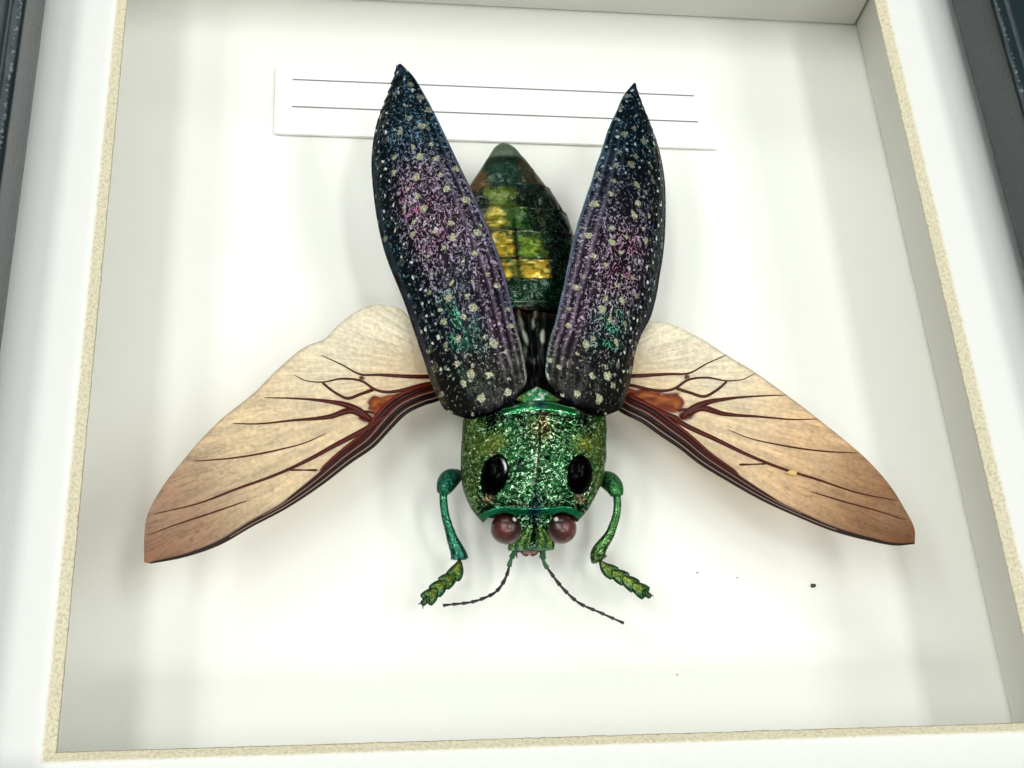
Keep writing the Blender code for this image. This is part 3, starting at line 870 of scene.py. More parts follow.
@dataclass(frozen=True)
class WingMembrane(Finish):
    """Hind wing: clear brown chitin film, pleated and crinkled, over hollow red-brown veins.

    Marks: red is 1 on a vein, green is how creased the film is; the creases are painted darker as
    shade. The flow field, round the wing's root and out from it, makes the crinkles fan out. The
    eye gets a warm film that lets the white backing through and dark glossy veins.
    """

    name: str = "crinkled wing film and veins"
    film_share: float = 0.42

    def surface(self, add: Adder, place: Socket) -> Socket:
        """Film: see-through and glossy share; vein: solid dark chitin with a wax gloss."""
        tint, marks, flow = (add(f"Attribute {n}") for n in ("tint", "marks", "flow"))
        vein, creased = (add("SeparateColor", marks, output=c) for c in ("Red", "Green"))
        crinkle = add("TexNoise", flow, 1.0, 5.0, 0.6)
        fine = add("TexNoise", place, 2600.0, 3.0)
        # The film's colour is lightened and darkened with the same noises as its bump, and darkened along
        # the creases: painted light and shade on the relief.
        folds = add("MapRange", crinkle, 0.3, 0.7, 0.84, 1.14)
        pebbles = add("MapRange", fine, 0.3, 0.7, 0.88, 1.12)
        pleats = add("TexNoise", flow, 1.5, 1.0)
        gap = add("Math ABSOLUTE", add("Math SUBTRACT", pleats, 0.5))
        crease = add("Math MULTIPLY", add("MapRange SMOOTHSTEP", gap, 0.004, 0.04, 1.0, 0.0), creased)
        keep = add("Math MULTIPLY_ADD", crease, -0.2, 1.0)
        both = add("Math MULTIPLY", add("Math MULTIPLY", folds, pebbles), keep)
        shaded = add("VectorMath SCALE", tint, both)
        film = add("Mix RGBA", vein, shaded, tint)
        relief = add("Math MULTIPLY_ADD", fine, 0.35, crinkle)
        bump = add("Bump", Height=relief, Distance=0.12 * MM, Strength=0.8)
        rough = add("MapRange", vein, 0, 1, 0.42, 0.36)
        skin = add("BsdfPrincipled", Base_Color=film, Roughness=rough, Specular_IOR_Level=0.25, Normal=bump)
        clear = add("BsdfTransparent", Color=film)
        share = add("MapRange", vein, 0, 1, self.film_share, 1.0)
        return add("MixShader", share, clear, skin)


@dataclass(frozen=True)
class GlossShell(Finish):
    """Smooth horn-like shell: compound eyes, mouthparts, feelers and crumbs.

    The eye gets a deep colour under a soft gloss, with facets where the facet pitch is set.
    """

    name: str
    facet_pitch: float = 0.1
    facet_depth: float = 0.0
    roughness: float = 0.12
    coat: float = 1.0

    def surface(self, add: Adder, place: Socket) -> Socket:
        """Tint, darker in random facets, under a coat."""
        tint = add("Attribute tint")
        facets = add("TexVoronoi", place, 1 / (self.facet_pitch * MM), Randomness=0.35)
        shade = add("MapRange", facets, 0.2, 0.7, 1.0, 0.72)
        colour = add("VectorMath SCALE", tint, shade)
        bump = add("Bump", Height=facets, Distance=self.facet_depth * MM, invert=True)
        return add("BsdfPrincipled", Base_Color=colour, Roughness=self.roughness, Normal=bump,
                   Coat_Weight=self.coat, Coat_Roughness=0.05)


@dataclass(frozen=True)
class TablePaint(Finish):
    """Matt paint on a table top: the eye gets a pale ground with faint clouds."""

    name: str = "pale painted table top"

    def surface(self, add: Adder, place: Socket) -> Socket:
        """Two pale greys, mixed by slow noise."""
        colour = add("Mix RGBA", add("TexNoise", place, 30.0, 3.0), "DAD9D5", "D2D1CC")
        return add("BsdfPrincipled", Base_Color=colour, Roughness=0.8)


# --- case ---
@dataclass
class CaseFrame:
    """Four mitred rails with softened, rubbed edges and a quirk beside the lip."""

    sight: Pair = (48.4, 50.35)  # lip's edge from the middle, across and along
    face: float = 16.6  # width of a rail's face
    lip: float = 4.0  # how far the lip covers the mat
    lip_bottom: float = 25.08  # height of the lip's underside
    depth: float = 32.0  # height of the face
    edge: float = 0.55  # radius of the worn edges
    mitre_gap: float = 0.02  # taken off each rail's end
    stations: int = 260

    def section(self) -> tuple[Array, Array]:
        """Rail's outline, outwards from the lip's edge and up, and how worn each point is."""
        turn = np.linspace(0, np.pi / 2, 7)
        near, far = self.edge * (1 - np.cos(turn)), self.edge * (1 - np.sin(turn))
        inner = np.stack([near, self.depth - far], 1)
        outer = np.stack([self.face - far, self.depth - near], 1)
        wall = np.stack([np.zeros(8), np.linspace(self.lip_bottom, self.depth - self.edge, 9)[:-1]], 1)
        quirk = np.array([[1.15, self.depth], [1.3, self.depth - 0.16], [1.45, self.depth]])
        face = np.stack([np.linspace(2.2, self.face - self.edge - 1, 5), np.full(5, self.depth)], 1)
        side = np.stack([np.full(5, self.face), np.linspace(self.depth - self.edge - 1, 0.4, 5)], 1)
        rest = np.array([[self.face - 0.4, 0.0], [self.lip + 0.4, 0.0], [self.lip, 0.4],
                         [self.lip, self.lip_bottom - 0.3], [self.lip - 0.3, self.lip_bottom]])
        points = np.concatenate([wall, inner, quirk, face, outer, side, rest])
        high = smooth(self.depth - 0.35, self.depth - 0.02, points[:, 1])
        worn = high * smooth(0.75, 0.25, np.abs(points[:, 0] - 0.3))
        worn = np.maximum(worn, 0.55 * high * smooth(0.8, 0.2, np.abs(points[:, 0] - self.face + 0.3)))
        return points, worn

    def rail(self, along_x: bool, sign: int) -> Solid:
        """One rail: its outline carried between the mitres, with small dents along the worn edges.

        Args:
            along_x: whether it runs along X.
            sign: which of the two.

        Returns:
            The closed rail.
        """
        points, worn = self.section()
        own, other = self.sight if along_x else self.sight[::-1]
        t = np.linspace(-1, 1, self.stations)[:, None]
        run = t * (own + points[None, :, 0] - self.mitre_gap)
        out, up = (np.broadcast_to(points[:, axis], run.shape) for axis in (0, 1))
        dents = (grain(np.stack([run, out * 3.0, up * 3.0], axis=-1), 1.3, 11 + sign) - 0.35) * worn * 0.16
        dents = np.maximum(dents, 0)
        across = sign * (other + out + dents * 0.6)
        rings = np.stack([run, across, up - dents] if along_x else [across, run, up - dents], axis=-1)
        # The pole sits over the rabbet, from where the whole end face can be seen.
        out, up = self.face * 0.6, self.depth - 3.5
        ends = [(end * (own + out - self.mitre_gap), sign * (other + out)) for end in (-1, 1)]
        poles = np.array([(*(end if along_x else end[::-1]), up) for end in ends])
        return tube(rings, "0E1C20", marked(rings, worn), poles=poles)

    def build(self, wood: Material) -> None:
        """Make the four rails.

        Args:
            wood: the rails' finish.
        """
        for names, along_x in ((("left", "right"), False), (("bottom", "top"), True)):
            for name, sign in zip(names, (-1, 1)):
                node = f"frame_rail_{name}"
                add_piece(f"{node}_moulding", self.rail(along_x, sign), wood, "black_painted_wood", node)


@dataclass
class MatWindow:
    """Mat board: a plate whose window is cut at 45 degrees."""

    window: Pair = (41.25, 43.2)  # window's lower edge, half sizes
    outer: Pair = (52.1, 54.05)  # board's half sizes
    bottom: float = 21.36  # height of its underside
    thickness: float = 0.92  # the board's thickness, which the bevel repeats sideways
    tear: float = 0.05  # how far the cut pulp stands in and out
    step: float = 0.3  # spacing of the points round the window

    def build(self, board: Material) -> None:
        """Carry the board's profile round the window.

        The profile runs from the outer edge over the face, down the bevel and back underneath;
        each profile point is a rectangle whose sides are cut into equal steps.

        Args:
            board: the mat's finish.
        """
        top, thick = self.bottom + self.thickness, self.thickness
        # Rows: share from the bevel outwards to the board's edge, way out on the bevel, height, core mark.
        face = [(share, 1.0, top, 0.0) for share in (1.0, 0.5, 0.12, 0.02)]
        bevel = [(0.0, 1 - b, top - b * thick, 1.0 if b > 0 else 0.6) for b in np.linspace(0, 1, 9)]
        back = [(share, 1.0, self.bottom, 0.0) for share in (1.0, 0.02, 0.5)]
        profile = np.array([back[0], *face, *bevel, *back[1:]])
        grid = np.stack([self.rectangle(*(half + out * thick + share * (edge - half - thick)
                                          for half, edge in zip(self.window, self.outer)), z)
                         for share, out, z, _ in profile])
        core = profile[:, 3:]
        torn = drift(grid, 0.45, 31) * 2 * self.tear * (core > 0.9)
        grid[..., :2] -= unit(grid[..., :2]) * torn[..., None]
        add_piece("mat_window", hoop(grid, marked(grid, core)), board, "white_mat_board", "mat_board")

    def rectangle(self, half_x: float, half_y: float, z: float) -> Array:
        """Points round a rectangle, the same number on matching sides of every loop.

        Args:
            half_x: half its width.
            half_y: half its length.
            z: its height.

        Returns:
            (points, 3) places.
        """
        x, y = (np.linspace(-1, 1, int(2 * half / self.step), endpoint=False) for half in self.window)
        low = np.stack([x, np.full_like(x, -1)], 1)
        right = np.stack([np.ones_like(y), y], 1)
        ring = np.concatenate([low, right, -low, -right])
        return np.concatenate([ring * (half_x, half_y), np.full((len(ring), 1), z)], axis=1)


@dataclass
class CaseBoards:
    """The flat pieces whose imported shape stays: glass, spacers, backing, label and back panel."""

    def build(self) -> None:
        """Give each node its finish."""
        dress_node("glass_pane", PictureGlass().build())
        foam = Board("foam board with a paper face", "E2E1DA", "DAD9D1", tooth_depth=0.015).build()
        for side in ("left", "right", "bottom", "top"):
            dress_node(f"spacer_{side}", foam)
        dress_node("backing_board", Board("coated white backing card", "F4F3EE", "EFEEE7").build())
        dress_node("label", RuledPaper().build())
        fibre = Board("pressed brown fibreboard", "8A6B4A", "7A5C3E", tooth_pitch=0.8, tooth_depth=0.12,
                      fleck="4E3722", fleck_share=0.6)
        dress_node("back_panel", fibre.build())


@dataclass
class RetainingTabs:
    """Four steel tabs under the back panel, with a rounded free end and a raised rib."""

    width: float = 5.0
    length: float = 9.0
    thickness: float = 0.4
    rib: float = 0.17
    spread: float = 30.0
    half_y: float = 54.05
    top: float = 2.7

    def build(self, steel: Material) -> None:
        """Make each tab where its node is: a plate whose half width follows a half circle at its end.

        Args:
            steel: their finish.
        """
        straight, bend = 0.7, 0.3
        turn = np.linspace(0.1, np.pi / 2, 14)
        along = np.concatenate([np.linspace(0, straight, 16), straight + bend * np.sin(turn)])
        reach = np.sqrt(np.clip(1 - (np.maximum(along - straight, 0) / bend) ** 2, 0.0004, 1))
        across = np.linspace(-1, 1, 25)
        plan_x = reach[:, None] * across * self.width / 2
        rib = self.rib * ridge(across, 0, 0.28) * band(along, (0.07, 0.72), 0.08)[:, None]
        lower = self.top - self.thickness + self.rib - rib
        upper = lower + self.thickness - self.rib
        rows, ends = (("bottom", -1), ("top", 1)), (("left", -1), ("right", 1))
        for (side, sign_y), (end, sign_x) in product(rows, ends):
            x = sign_x * self.spread + plan_x
            y = np.broadcast_to(sign_y * (self.half_y - along * self.length)[:, None], x.shape)
            rings = np.concatenate([np.stack([x, y, upper], 2), np.stack([x, y, lower], 2)[:, ::-1]], axis=1)
            node = f"tab_{side}_{end}"
            add_piece(f"{node}_plate", tube(rings, "B4B7BA"), steel, "zinc_plated_steel", node)


@dataclass
class GluePad:
    """A blob of glue between the thorax and the backing, with a wavy outline."""

    centre: Pair = (-0.8, -4.0)
    radii: Pair = (2.2, 4.0)
    low: float = 7.3
    high: float = 8.0

    def build(self, glue: Material) -> None:
        """Rings whose radius follows a quarter circle over the height and two slow waves round it.

        Args:
            glue: its finish.
        """
        turn = full_turn(72)
        rise = np.linspace(0, 1, 14)[:, None]
        reach = np.sqrt(1 - (0.75 * rise) ** 2) * (0.93 + 0.04 * np.sin(3 * turn) + 0.03 * np.cos(5 * turn))
        x = self.centre[0] + self.radii[0] * reach * np.cos(turn)
        y = self.centre[1] + self.radii[1] * reach * np.sin(turn)
        z = np.broadcast_to(self.low + (self.high - self.low) * rise, x.shape)
        add_piece("glue_blob", tube(np.stack([x, y, z], axis=2), "E8E2D0"), glue, "clear_glue", "glue_pad")


@dataclass
class Crumbs:
    """Dark crumbs that have dropped on the backing."""

    # X, Y and length of each crumb.
    rows: tuple = ((28.22, -26.01, 0.62), (16.36, -24.49, 0.2), (20.42, -25.07, 0.18),
                   (13.11, -34.7, 0.16))
    floor: float = 7.0  # height of the backing's face

    def build(self, shell: Material) -> None:
        """Join a few lumpy ovals that rest on the backing.

        Args:
            shell: their finish.
        """
        solids = []
        for number, (x, y, length) in enumerate(self.rows):
            rings = ball_rings(11, 18)
            rings *= (0.8 + 0.4 * grain(rings + number * 7.0, 0.8, 91))[..., None]
            rings = rings * (length / 2, length / 3, length / 4)
            rings[..., 2] -= rings[..., 2].min()
            solids.append(tube(rings + (x, y, self.floor), "1A120C"))
        add_piece("dropped_crumbs", joined(solids), shell, "brown_black_cuticle")


# --- beetle's body ---
@dataclass
class Head:
    """Head with a keeled face, two compound eyes and short mouthparts."""

    # Rows as body_rings takes them.
    stations: tuple = (
        (-23.60, -1.20, 1.80, 12.1, 12.6, 11.0),
        (-23.30, -1.18, 2.10, 12.4, 13.3, 10.7),
        (-22.90, -1.15, 2.05, 12.8, 14.1, 10.5),
        (-22.40, -1.15, 1.95, 13.2, 14.8, 10.4),
        (-21.80, -1.20, 2.30, 13.4, 15.1, 10.6),
        (-20.20, -1.20, 3.10, 13.4, 15.2, 10.8),
    )
    # Middle x and distance of an eye's centre from it, y, z.
    eyes: tuple[float, float, float, float] = (-1.1, 2.6, -22.2, 13.9)
    eye_radius: float = 1.5
    # Rows of the upper lip's own stations.
    lip: tuple = ((-23.85, -1.2, 0.3, 11.4, 11.6, 11.2), (-23.7, -1.2, 0.6, 11.4, 11.8, 11.1),
                  (-23.2, -1.2, 0.9, 11.5, 12.0, 11.1))
    # Middle line of a jaw, from the head's middle line outwards.
    jaw: tuple = ((0.5, -23.0, 11.3), (0.6, -23.5, 11.2), (0.3, -23.8, 11.1), (0.08, -23.85, 11.1))
    # Middle line of a palp, the same way.
    palp: tuple = ((1.0, -23.0, 10.9), (1.2, -23.6, 10.6), (1.05, -23.9, 10.3))

    def capsule(self) -> Solid:
        """Head capsule: a face of two slanting plates beside a deep groove, with a scalloped edge."""
        y = -23.6 + 3.4 * np.linspace(0, 1, 110) ** 1.2
        grid, x, rows = body_rings(self.stations, y, ring_turns(170, 40), 2.4)
        upper = smooth(11.4, 12.4, grid[..., 2])
        wide = np.abs(x)
        groove = ridge(x, 0.0, 0.17) * smooth(-23.6, -23.35, rows)
        # Each plate is a fan that opens from beside the groove to the edge of the mouth.
        reach = (wide - 0.2) / (0.3 + 1.6 * smooth(-22.0, -23.4, rows))
        plate = band(reach, (0.03, 1.0), 0.09) * smooth(-22.0, -22.5, rows)
        spokes = 0.5 + 0.5 * np.cos(reach * 15 + np.sign(x))
        notch = 0.2 * np.cos(x / 0.5 * np.pi) * smooth(-23.3, -23.55, rows)
        relief = (0.2 + 0.06 * spokes) * plate + 0.16 * drift(grid, 0.22, 5) + notch - 0.35 * groove
        grid = raised(grid, relief * upper)
        tint = painted(
            grid, "1E7A36",
            ("7CA83E", plate * (0.15 + 0.75 * spokes)),
            ("14705E", smooth(0.9, 0.2, wide) * smooth(-22.6, -21.6, rows) * 0.8),
            ("8ECBB0", smooth(-23.35, -23.6, rows) * 0.6),
        )
        outline = smooth(0.16, 0.0, np.abs(reach - 1.0)) * smooth(-22.0, -22.5, rows)
        # Painted shade: the blue mark darkens the groove, the plates' outlines, the gaps between their ribs
        # and the underside.
        shade = groove * 0.95 + outline * 0.8 + 0.5 * plate * smooth(0.4, 0.0, spokes)
        return tube(grid, tint, marked(grid, 0.45 * plate, 0.1, shade + smooth(12.6, 11.4, grid[..., 2])))

    def compound_eye(self, side: Side) -> Solid:
        """An oval ball sunk in the head, red-brown in its middle, with a mauve-grey painted sheen at its rim
        and a small painted highlight.

        Args:
            side: which one.

        Returns:
            The closed ball.
        """
        ball = ball_rings(60, 96)[..., [0, 2, 1]]
        facing = ball @ np.array([side.value * 0.2, -0.35, 0.9])
        x, y = ball[..., 0] * side.value, ball[..., 1]
        mottle = 0.5 + 0.5 * grain(ball * (1, 0.4, 1), 0.3, 8)
        tint = painted(
            ball, "2A0A08",
            ("7E362C", bell(x, y, (0.25, -0.35), (0.5, 0.45)) * mottle),
            # Painted sheen: mauve-grey where the surface turns away from a direction up and towards the
            # head.
            ("9A7A70", smooth(0.5, 0.2, facing) * smooth(0.1, -0.3, y) * 0.6),
            ("100404", bell(x, y, (-0.35, 0.2), (0.35, 0.5)) * 0.8),
            # Painted highlight: a small near-white spot.
            ("F0E8E0", smooth(0.4, 0.8, bell(x, y, (-0.42, 0.3), (0.16, 0.2)))),
        )
        middle, out, y, z = self.eyes
        return tube(ball * self.eye_radius + (middle + side.value * out, y, z), tint)

    def mouthparts(self) -> Solid:
        """Upper lip, two jaws and two short palps under the face's edge."""
        shares = np.linspace(0, 1, 24)
        solids = []
        for side, (line, width) in product(Side, ((self.jaw, 0.3), (self.palp, 0.12))):
            path = np.array(line) * (side.value, 1, 1) + (self.lip[0][1], 0, 0)
            half = width * np.sqrt(np.clip(1 - shares ** 3, 0.02, 1))
            solids.append(tube(limb_rings(path, shares, half, half * 0.8, 16), "5A2416"))
        lip, _, _ = body_rings(self.lip, np.linspace(-23.85, -23.2, 16), ring_turns(30, 14), 2.6)
        return joined([*solids, tube(lip, "8A5A4A")])

    def build(self, cuticle: Material, eye: Material, horn: Material) -> None:
        """Make the head's pieces.

        Args:
            cuticle: the capsule's finish.
            eye: the eyes' finish.
            horn: the mouthparts' finish.
        """
        add_piece("head_capsule", self.capsule(), cuticle, "emerald_cuticle", "head")
        for side in Side:
            add_piece(f"compound_eye_{side.label}", self.compound_eye(side), eye, "emerald_cuticle", "head")
        add_piece("mouthparts", self.mouthparts(), horn, "emerald_cuticle", "head")


@dataclass
class Pronotum:
    """Shield behind the head: pitted emerald metal with two glossy black false eyes."""

    # Rows as body_rings takes them.
    stations: tuple = (
        (-21.40, -1.35, 4.55, 13.9, 15.5, 11.6),
        (-20.60, -1.28, 5.25, 14.0, 16.3, 10.6),
        (-19.30, -1.15, 6.02, 14.2, 17.3, 9.6),
        (-18.00, -1.00, 6.60, 14.3, 18.0, 9.0),
        (-16.50, -0.85, 6.92, 14.4, 18.5, 8.8),
        (-14.00, -0.60, 7.02, 14.5, 18.6, 8.7),
        (-12.40, -0.45, 7.02, 14.6, 18.4, 8.8),
        (-11.80, -0.40, 6.98, 14.7, 18.1, 9.0),
        (-11.50, -0.35, 6.90, 14.8, 17.7, 9.5),
    )
    false_eye_out: float = 3.97  # distance of a false eye from the middle line
    false_eye_y: float = -18.1  # its place along the body
    false_eye_radii: Pair = (1.2, 1.62)  # its half width and half length
    # Place across, place along and size of the small hollows.
    dimples: tuple = ((-1.75, -13.4, 0.34), (-1.9, -17.2, 0.32), (1.7, -13.8, 0.22), (0.75, -16.9, 0.22),
                      (2.7, -15.1, 0.3), (-2.9, -15.6, 0.2))

    def build(self, cuticle: Material) -> None:
        """Make the shield: sections with rims, groove, hollows and bosses raised along the normals.

        Args:
            cuticle: its finish.
        """
        y = np.linspace(-21.4, -11.5, 150)
        grid, u, rows = body_rings(self.stations, y, ring_turns(300, 50), 2.35)
        table = np.array(self.stations)
        side = hermite(table[:, 0], table[:, 3], y)[:, None]
        wide = np.abs(u)
        top = smooth(13.6, 14.9, grid[..., 2])

        off_eye = (wide - self.false_eye_out) / self.false_eye_radii[0]
        up_eye = (rows - self.false_eye_y) / self.false_eye_radii[1]
        eye = np.hypot(off_eye, up_eye)
        boss = 0.5 * np.exp(-(eye / 1.25) ** 2) + 0.3 * np.sqrt(np.clip(1 - eye ** 2, 0, 1))
        black = smooth(1.06, 0.98, eye) * top
        front = smooth(-20.86, -20.96, rows) * top
        rear = smooth(-12.55, -12.4, rows) * smooth(4.1, 3.3, wide)
        groove = ridge(u, 0.0, 0.14) * band(rows, (-20.7, -13.3), 0.3)
        keel = ridge(u, -0.26, 0.16) * band(rows, (-18.8, -16.4), 0.6)
        hollow = bell(wide, rows, (4.7, -12.6), (0.7, 0.8))
        dimple = sum(bell(u, rows, (cx, cy), (size, size)) for cx, cy, size in self.dimples)
        coarse = (1 - front) * (1 - rear) * (1 - black) * top
        rough = 0.26 * drift(grid, 0.9, 22) - 0.13 * smooth(0.6, 0.15, pits(grid, 0.42, 21))
        height = ((boss - 0.12 * ridge(eye, 1.07, 0.08)) * top - 0.22 * groove + 0.16 * keel - 0.35 * hollow
                  - 0.25 * dimple + 0.16 * (front + rear) + rough * coarse)
        ditch = ridge(rows, -20.79, 0.07) * top
        seam = ridge(rows, -12.64, 0.10) * smooth(4.4, 3.6, wide)
        # The side edges are finely toothed.
        edge = ridge(grid[..., 2], side, 0.7) * smooth(-12.5, -14.0, rows)
        teeth = 0.16 * np.abs((rows / 0.34) % 1 - 0.5) * edge
        grid = raised(grid, height - 0.16 * (ditch + seam) + teeth)
        # The rear edge bows to the tail in its middle, and its corners stand square.
        tail = smooth(-13.4, -11.6, rows)
        grid[..., 1] += 0.75 * np.exp(-(u / 2.7) ** 2) * tail * top + 0.6 * smooth(4.9, 6.6, wide) * tail
        fore = smooth(-19.8, -21.3, rows)
        grid[..., 1] += 0.35 * bell(wide, rows, (3.0, -21.3), (1.1, 1.0)) * top
        grid[..., 1] += 2.2 * fore * smooth(13.6, 11.4, grid[..., 2])

        cloud, patch = grain(grid, 1.5, 23), grain(grid, 0.6, 24)
        olive = 1.2 * bell(wide, rows, (4.2, -15.3), (1.3, 1.3)) + 0.5 * smooth(4.8, 5.6, wide)
        tan_patch = smooth(0.35, 0.6, bell(wide, rows, (4.35, -20.05), (0.7, 0.45)))
        # Painted highlight: a thin white arc on the left false eye.
        glint = ridge(eye, 0.82, 0.09) * smooth(0.25, 0.7, -off_eye) * smooth(-0.1, 0.3, up_eye)
        glint = glint * (u < 0) * black
        tint = painted(
            grid, "2E9446",
            # Painted highlight: lighter over the middle of the dome.
            ("7FD08A", smooth(3.4, 1.2, wide) * (0.3 + 0.7 * cloud)),
            ("1E8A66", smooth(0.55, 0.2, patch) * 0.4),
            # Painted shade: darker down the flanks.
            ("1E6A22", smooth(3.2, 4.4, wide) * 0.9),
            ("747E22", olive * (0.45 + 0.6 * patch)),
            ("B8A848", bell(u, rows, (0.1, -14.0), (1.2, 1.4)) * 0.75),
            ("B0763A", bell(u, rows, (0.3, -13.1), (0.34, 0.9)) * 0.9),
            ("9A8A62", tan_patch),
            ("0E5A6E", bell(u, rows, (0.2, -20.6), (0.65, 0.8)) * 0.95),
            ("0F7450", front),
            ("083048", front * ridge(u, 0.0, 0.6)),
            ("2E9A5A", rear * 0.9),
            # Painted highlight: white glints along the rear rim.
            ("D8F0DC", smooth(0.62, 0.8, grain(grid * (1, 2.5, 1), 0.7, 25)) * rear * 0.8),
            ("0A4A6A", bell(u, rows, (0.0, -12.0), (0.5, 0.5))),
            ("D8E8C8", keel * 0.8),
            ("030303", black),
            # Painted highlight on the left false eye.
            ("E8ECE8", glint),
        )
        # The blue mark carries the false eyes' own black and painted shade: in the groove, the hollows
        # before the rear corners where the wing cases' shadow falls, the dimples, the ditches and the
        # underside.
        shade = black * (1 - glint) + 0.85 * groove + 0.95 * hollow + 0.9 * dimple + 0.9 * (ditch + seam)
        marks = marked(
            grid,
            np.maximum(black + front + rear + 0.5 * keel, 0.5 * olive),
            np.maximum(olive * 0.3, tan_patch * 0.8) * (1 - black) + 0.12 * smooth(4.5, 6.5, wide) + glint,
            shade + 0.75 * smooth(14.6, 13.0, grid[..., 2]),
        )
        # The front is open: its edge turns in and runs back round the head, and these inner rings are
        # painted nearly black as shade in the opening.
        mouth, centre = grid[0], grid[0].mean(axis=0)
        inner = [centre + (mouth - centre) * shrink + (0, back, 0)
                 for shrink, back in ((0.84, 1.4), (0.86, 0.9), (0.9, 0.3), (0.97, 0.02))]
        grid = np.concatenate([np.stack(inner), grid])
        tint = np.concatenate([np.repeat(tint[:1] * 0.1, len(inner), axis=0), tint])
        marks = np.concatenate([np.repeat(np.maximum(marks[:1], (0, 0, 0.9)), len(inner), axis=0), marks])
        add_piece("pronotum_shield", tube(grid, tint, marks), cuticle, "emerald_cuticle", "pronotum")


@dataclass
class Thorax:
    """Body between the wing roots: wrinkled dark plates, and the scutellum at their front."""

    # Rows as body_rings takes them.
    stations: tuple = (
        (-11.05, -0.70, 4.60, 12.8, 16.4, 9.2),
        (-9.50, -0.75, 5.80, 12.8, 17.1, 8.6),
        (-6.00, -0.80, 6.15, 12.8, 16.9, 8.4),
        (-2.50, -0.80, 6.00, 12.8, 16.4, 8.4),
        (0.20, -0.80, 5.50, 12.8, 16.0, 8.7),
    )
    scutellum: Pair = (-0.45, -10.0)  # its middle, across and along

    def build(self, cuticle: Material) -> None:
        """Make the plates: long wrinkles along Y, two pale pads and the raised green scutellum.

        Args:
            cuticle: its finish.
        """
        grid, _, rows = body_rings(self.stations, np.linspace(-11.05, 0.2, 150), ring_turns(170, 36), 2.2)
        x = grid[..., 0] - self.scutellum[0]
        top = smooth(13.5, 15.5, grid[..., 2])
        # Wrinkles spread to the tail on both sides of the middle.
        spread = x / (1 + 0.09 * (rows + 11))
        strands = grain(np.stack([spread, rows * 0.12, grid[..., 2] * 0.2], axis=-1), 0.17, 41)
        lumps = grain(grid * (1, 0.3, 1), 0.8, 42)
        outline = np.abs(x) / 2.5 + np.abs(rows - self.scutellum[1]) / 1.15
        plate = smooth(1.05, 0.8, outline)
        height = (0.22 * (strands - 0.5) + 0.3 * (lumps - 0.5)) * (1 - plate)
        height += (0.5 + 0.3 * drift(grid, 0.45, 44)) * plate
        height += 0.35 * bell(x, rows, (0.15, self.scutellum[1]), (0.9, 0.5))
        height -= 0.5 * ridge(x, 0, 0.4) * smooth(-8.0, -6.5, rows)
        grid = raised(grid, height * top)
        pleats = smooth(0.55, 0.8, strands) * smooth(-6.5, -4.5, rows) * smooth(1.6, 0.4, np.abs(x + 0.1))
        pad = bell(x + 0.2 * (rows + 3), rows, (-0.6, -3.1), (0.34, 1.2))
        pad = smooth(0.3, 0.75, pad + bell(x - 0.12 * (rows + 3), rows, (1.15, -2.9), (0.34, 1.1)))
        pad = pad * smooth(0.2, 0.6, strands)
        tint = painted(
            grid, "080B0A",
            ("A8B0A4", pleats * 0.8),
            ("CCD4BE", pad),
            ("D4DAD0", smooth(0.4, 0.7, bell(x, rows, (0.1, -5.6), (0.13, 0.6)))),
            ("4A2A1A", smooth(-0.9, -0.3, rows) * 0.7),
            ("1E8A46", plate * 0.95),
            ("8AB84A", plate * smooth(0.9, 1.8, np.abs(x))),
            # Painted highlight: white glints over the scutellum's middle.
            ("E8F8EC", smooth(0.55, 0.7, grain(grid, 0.3, 43)) * plate * smooth(1.3, 0.3, np.abs(x))),
        )
        bare = (1 - plate) * (1 - pad)
        rim = smooth(0.22, 0.0, np.abs(outline - 1.05))
        marks = marked(grid, 0.85 - 0.6 * plate, pad * 0.9 + 0.4 * bare, rim + bare * (1 - pleats) * 0.75)
        add_piece("thorax_plates", tube(grid, tint, marks), cuticle, "dark_green_cuticle", "thorax")


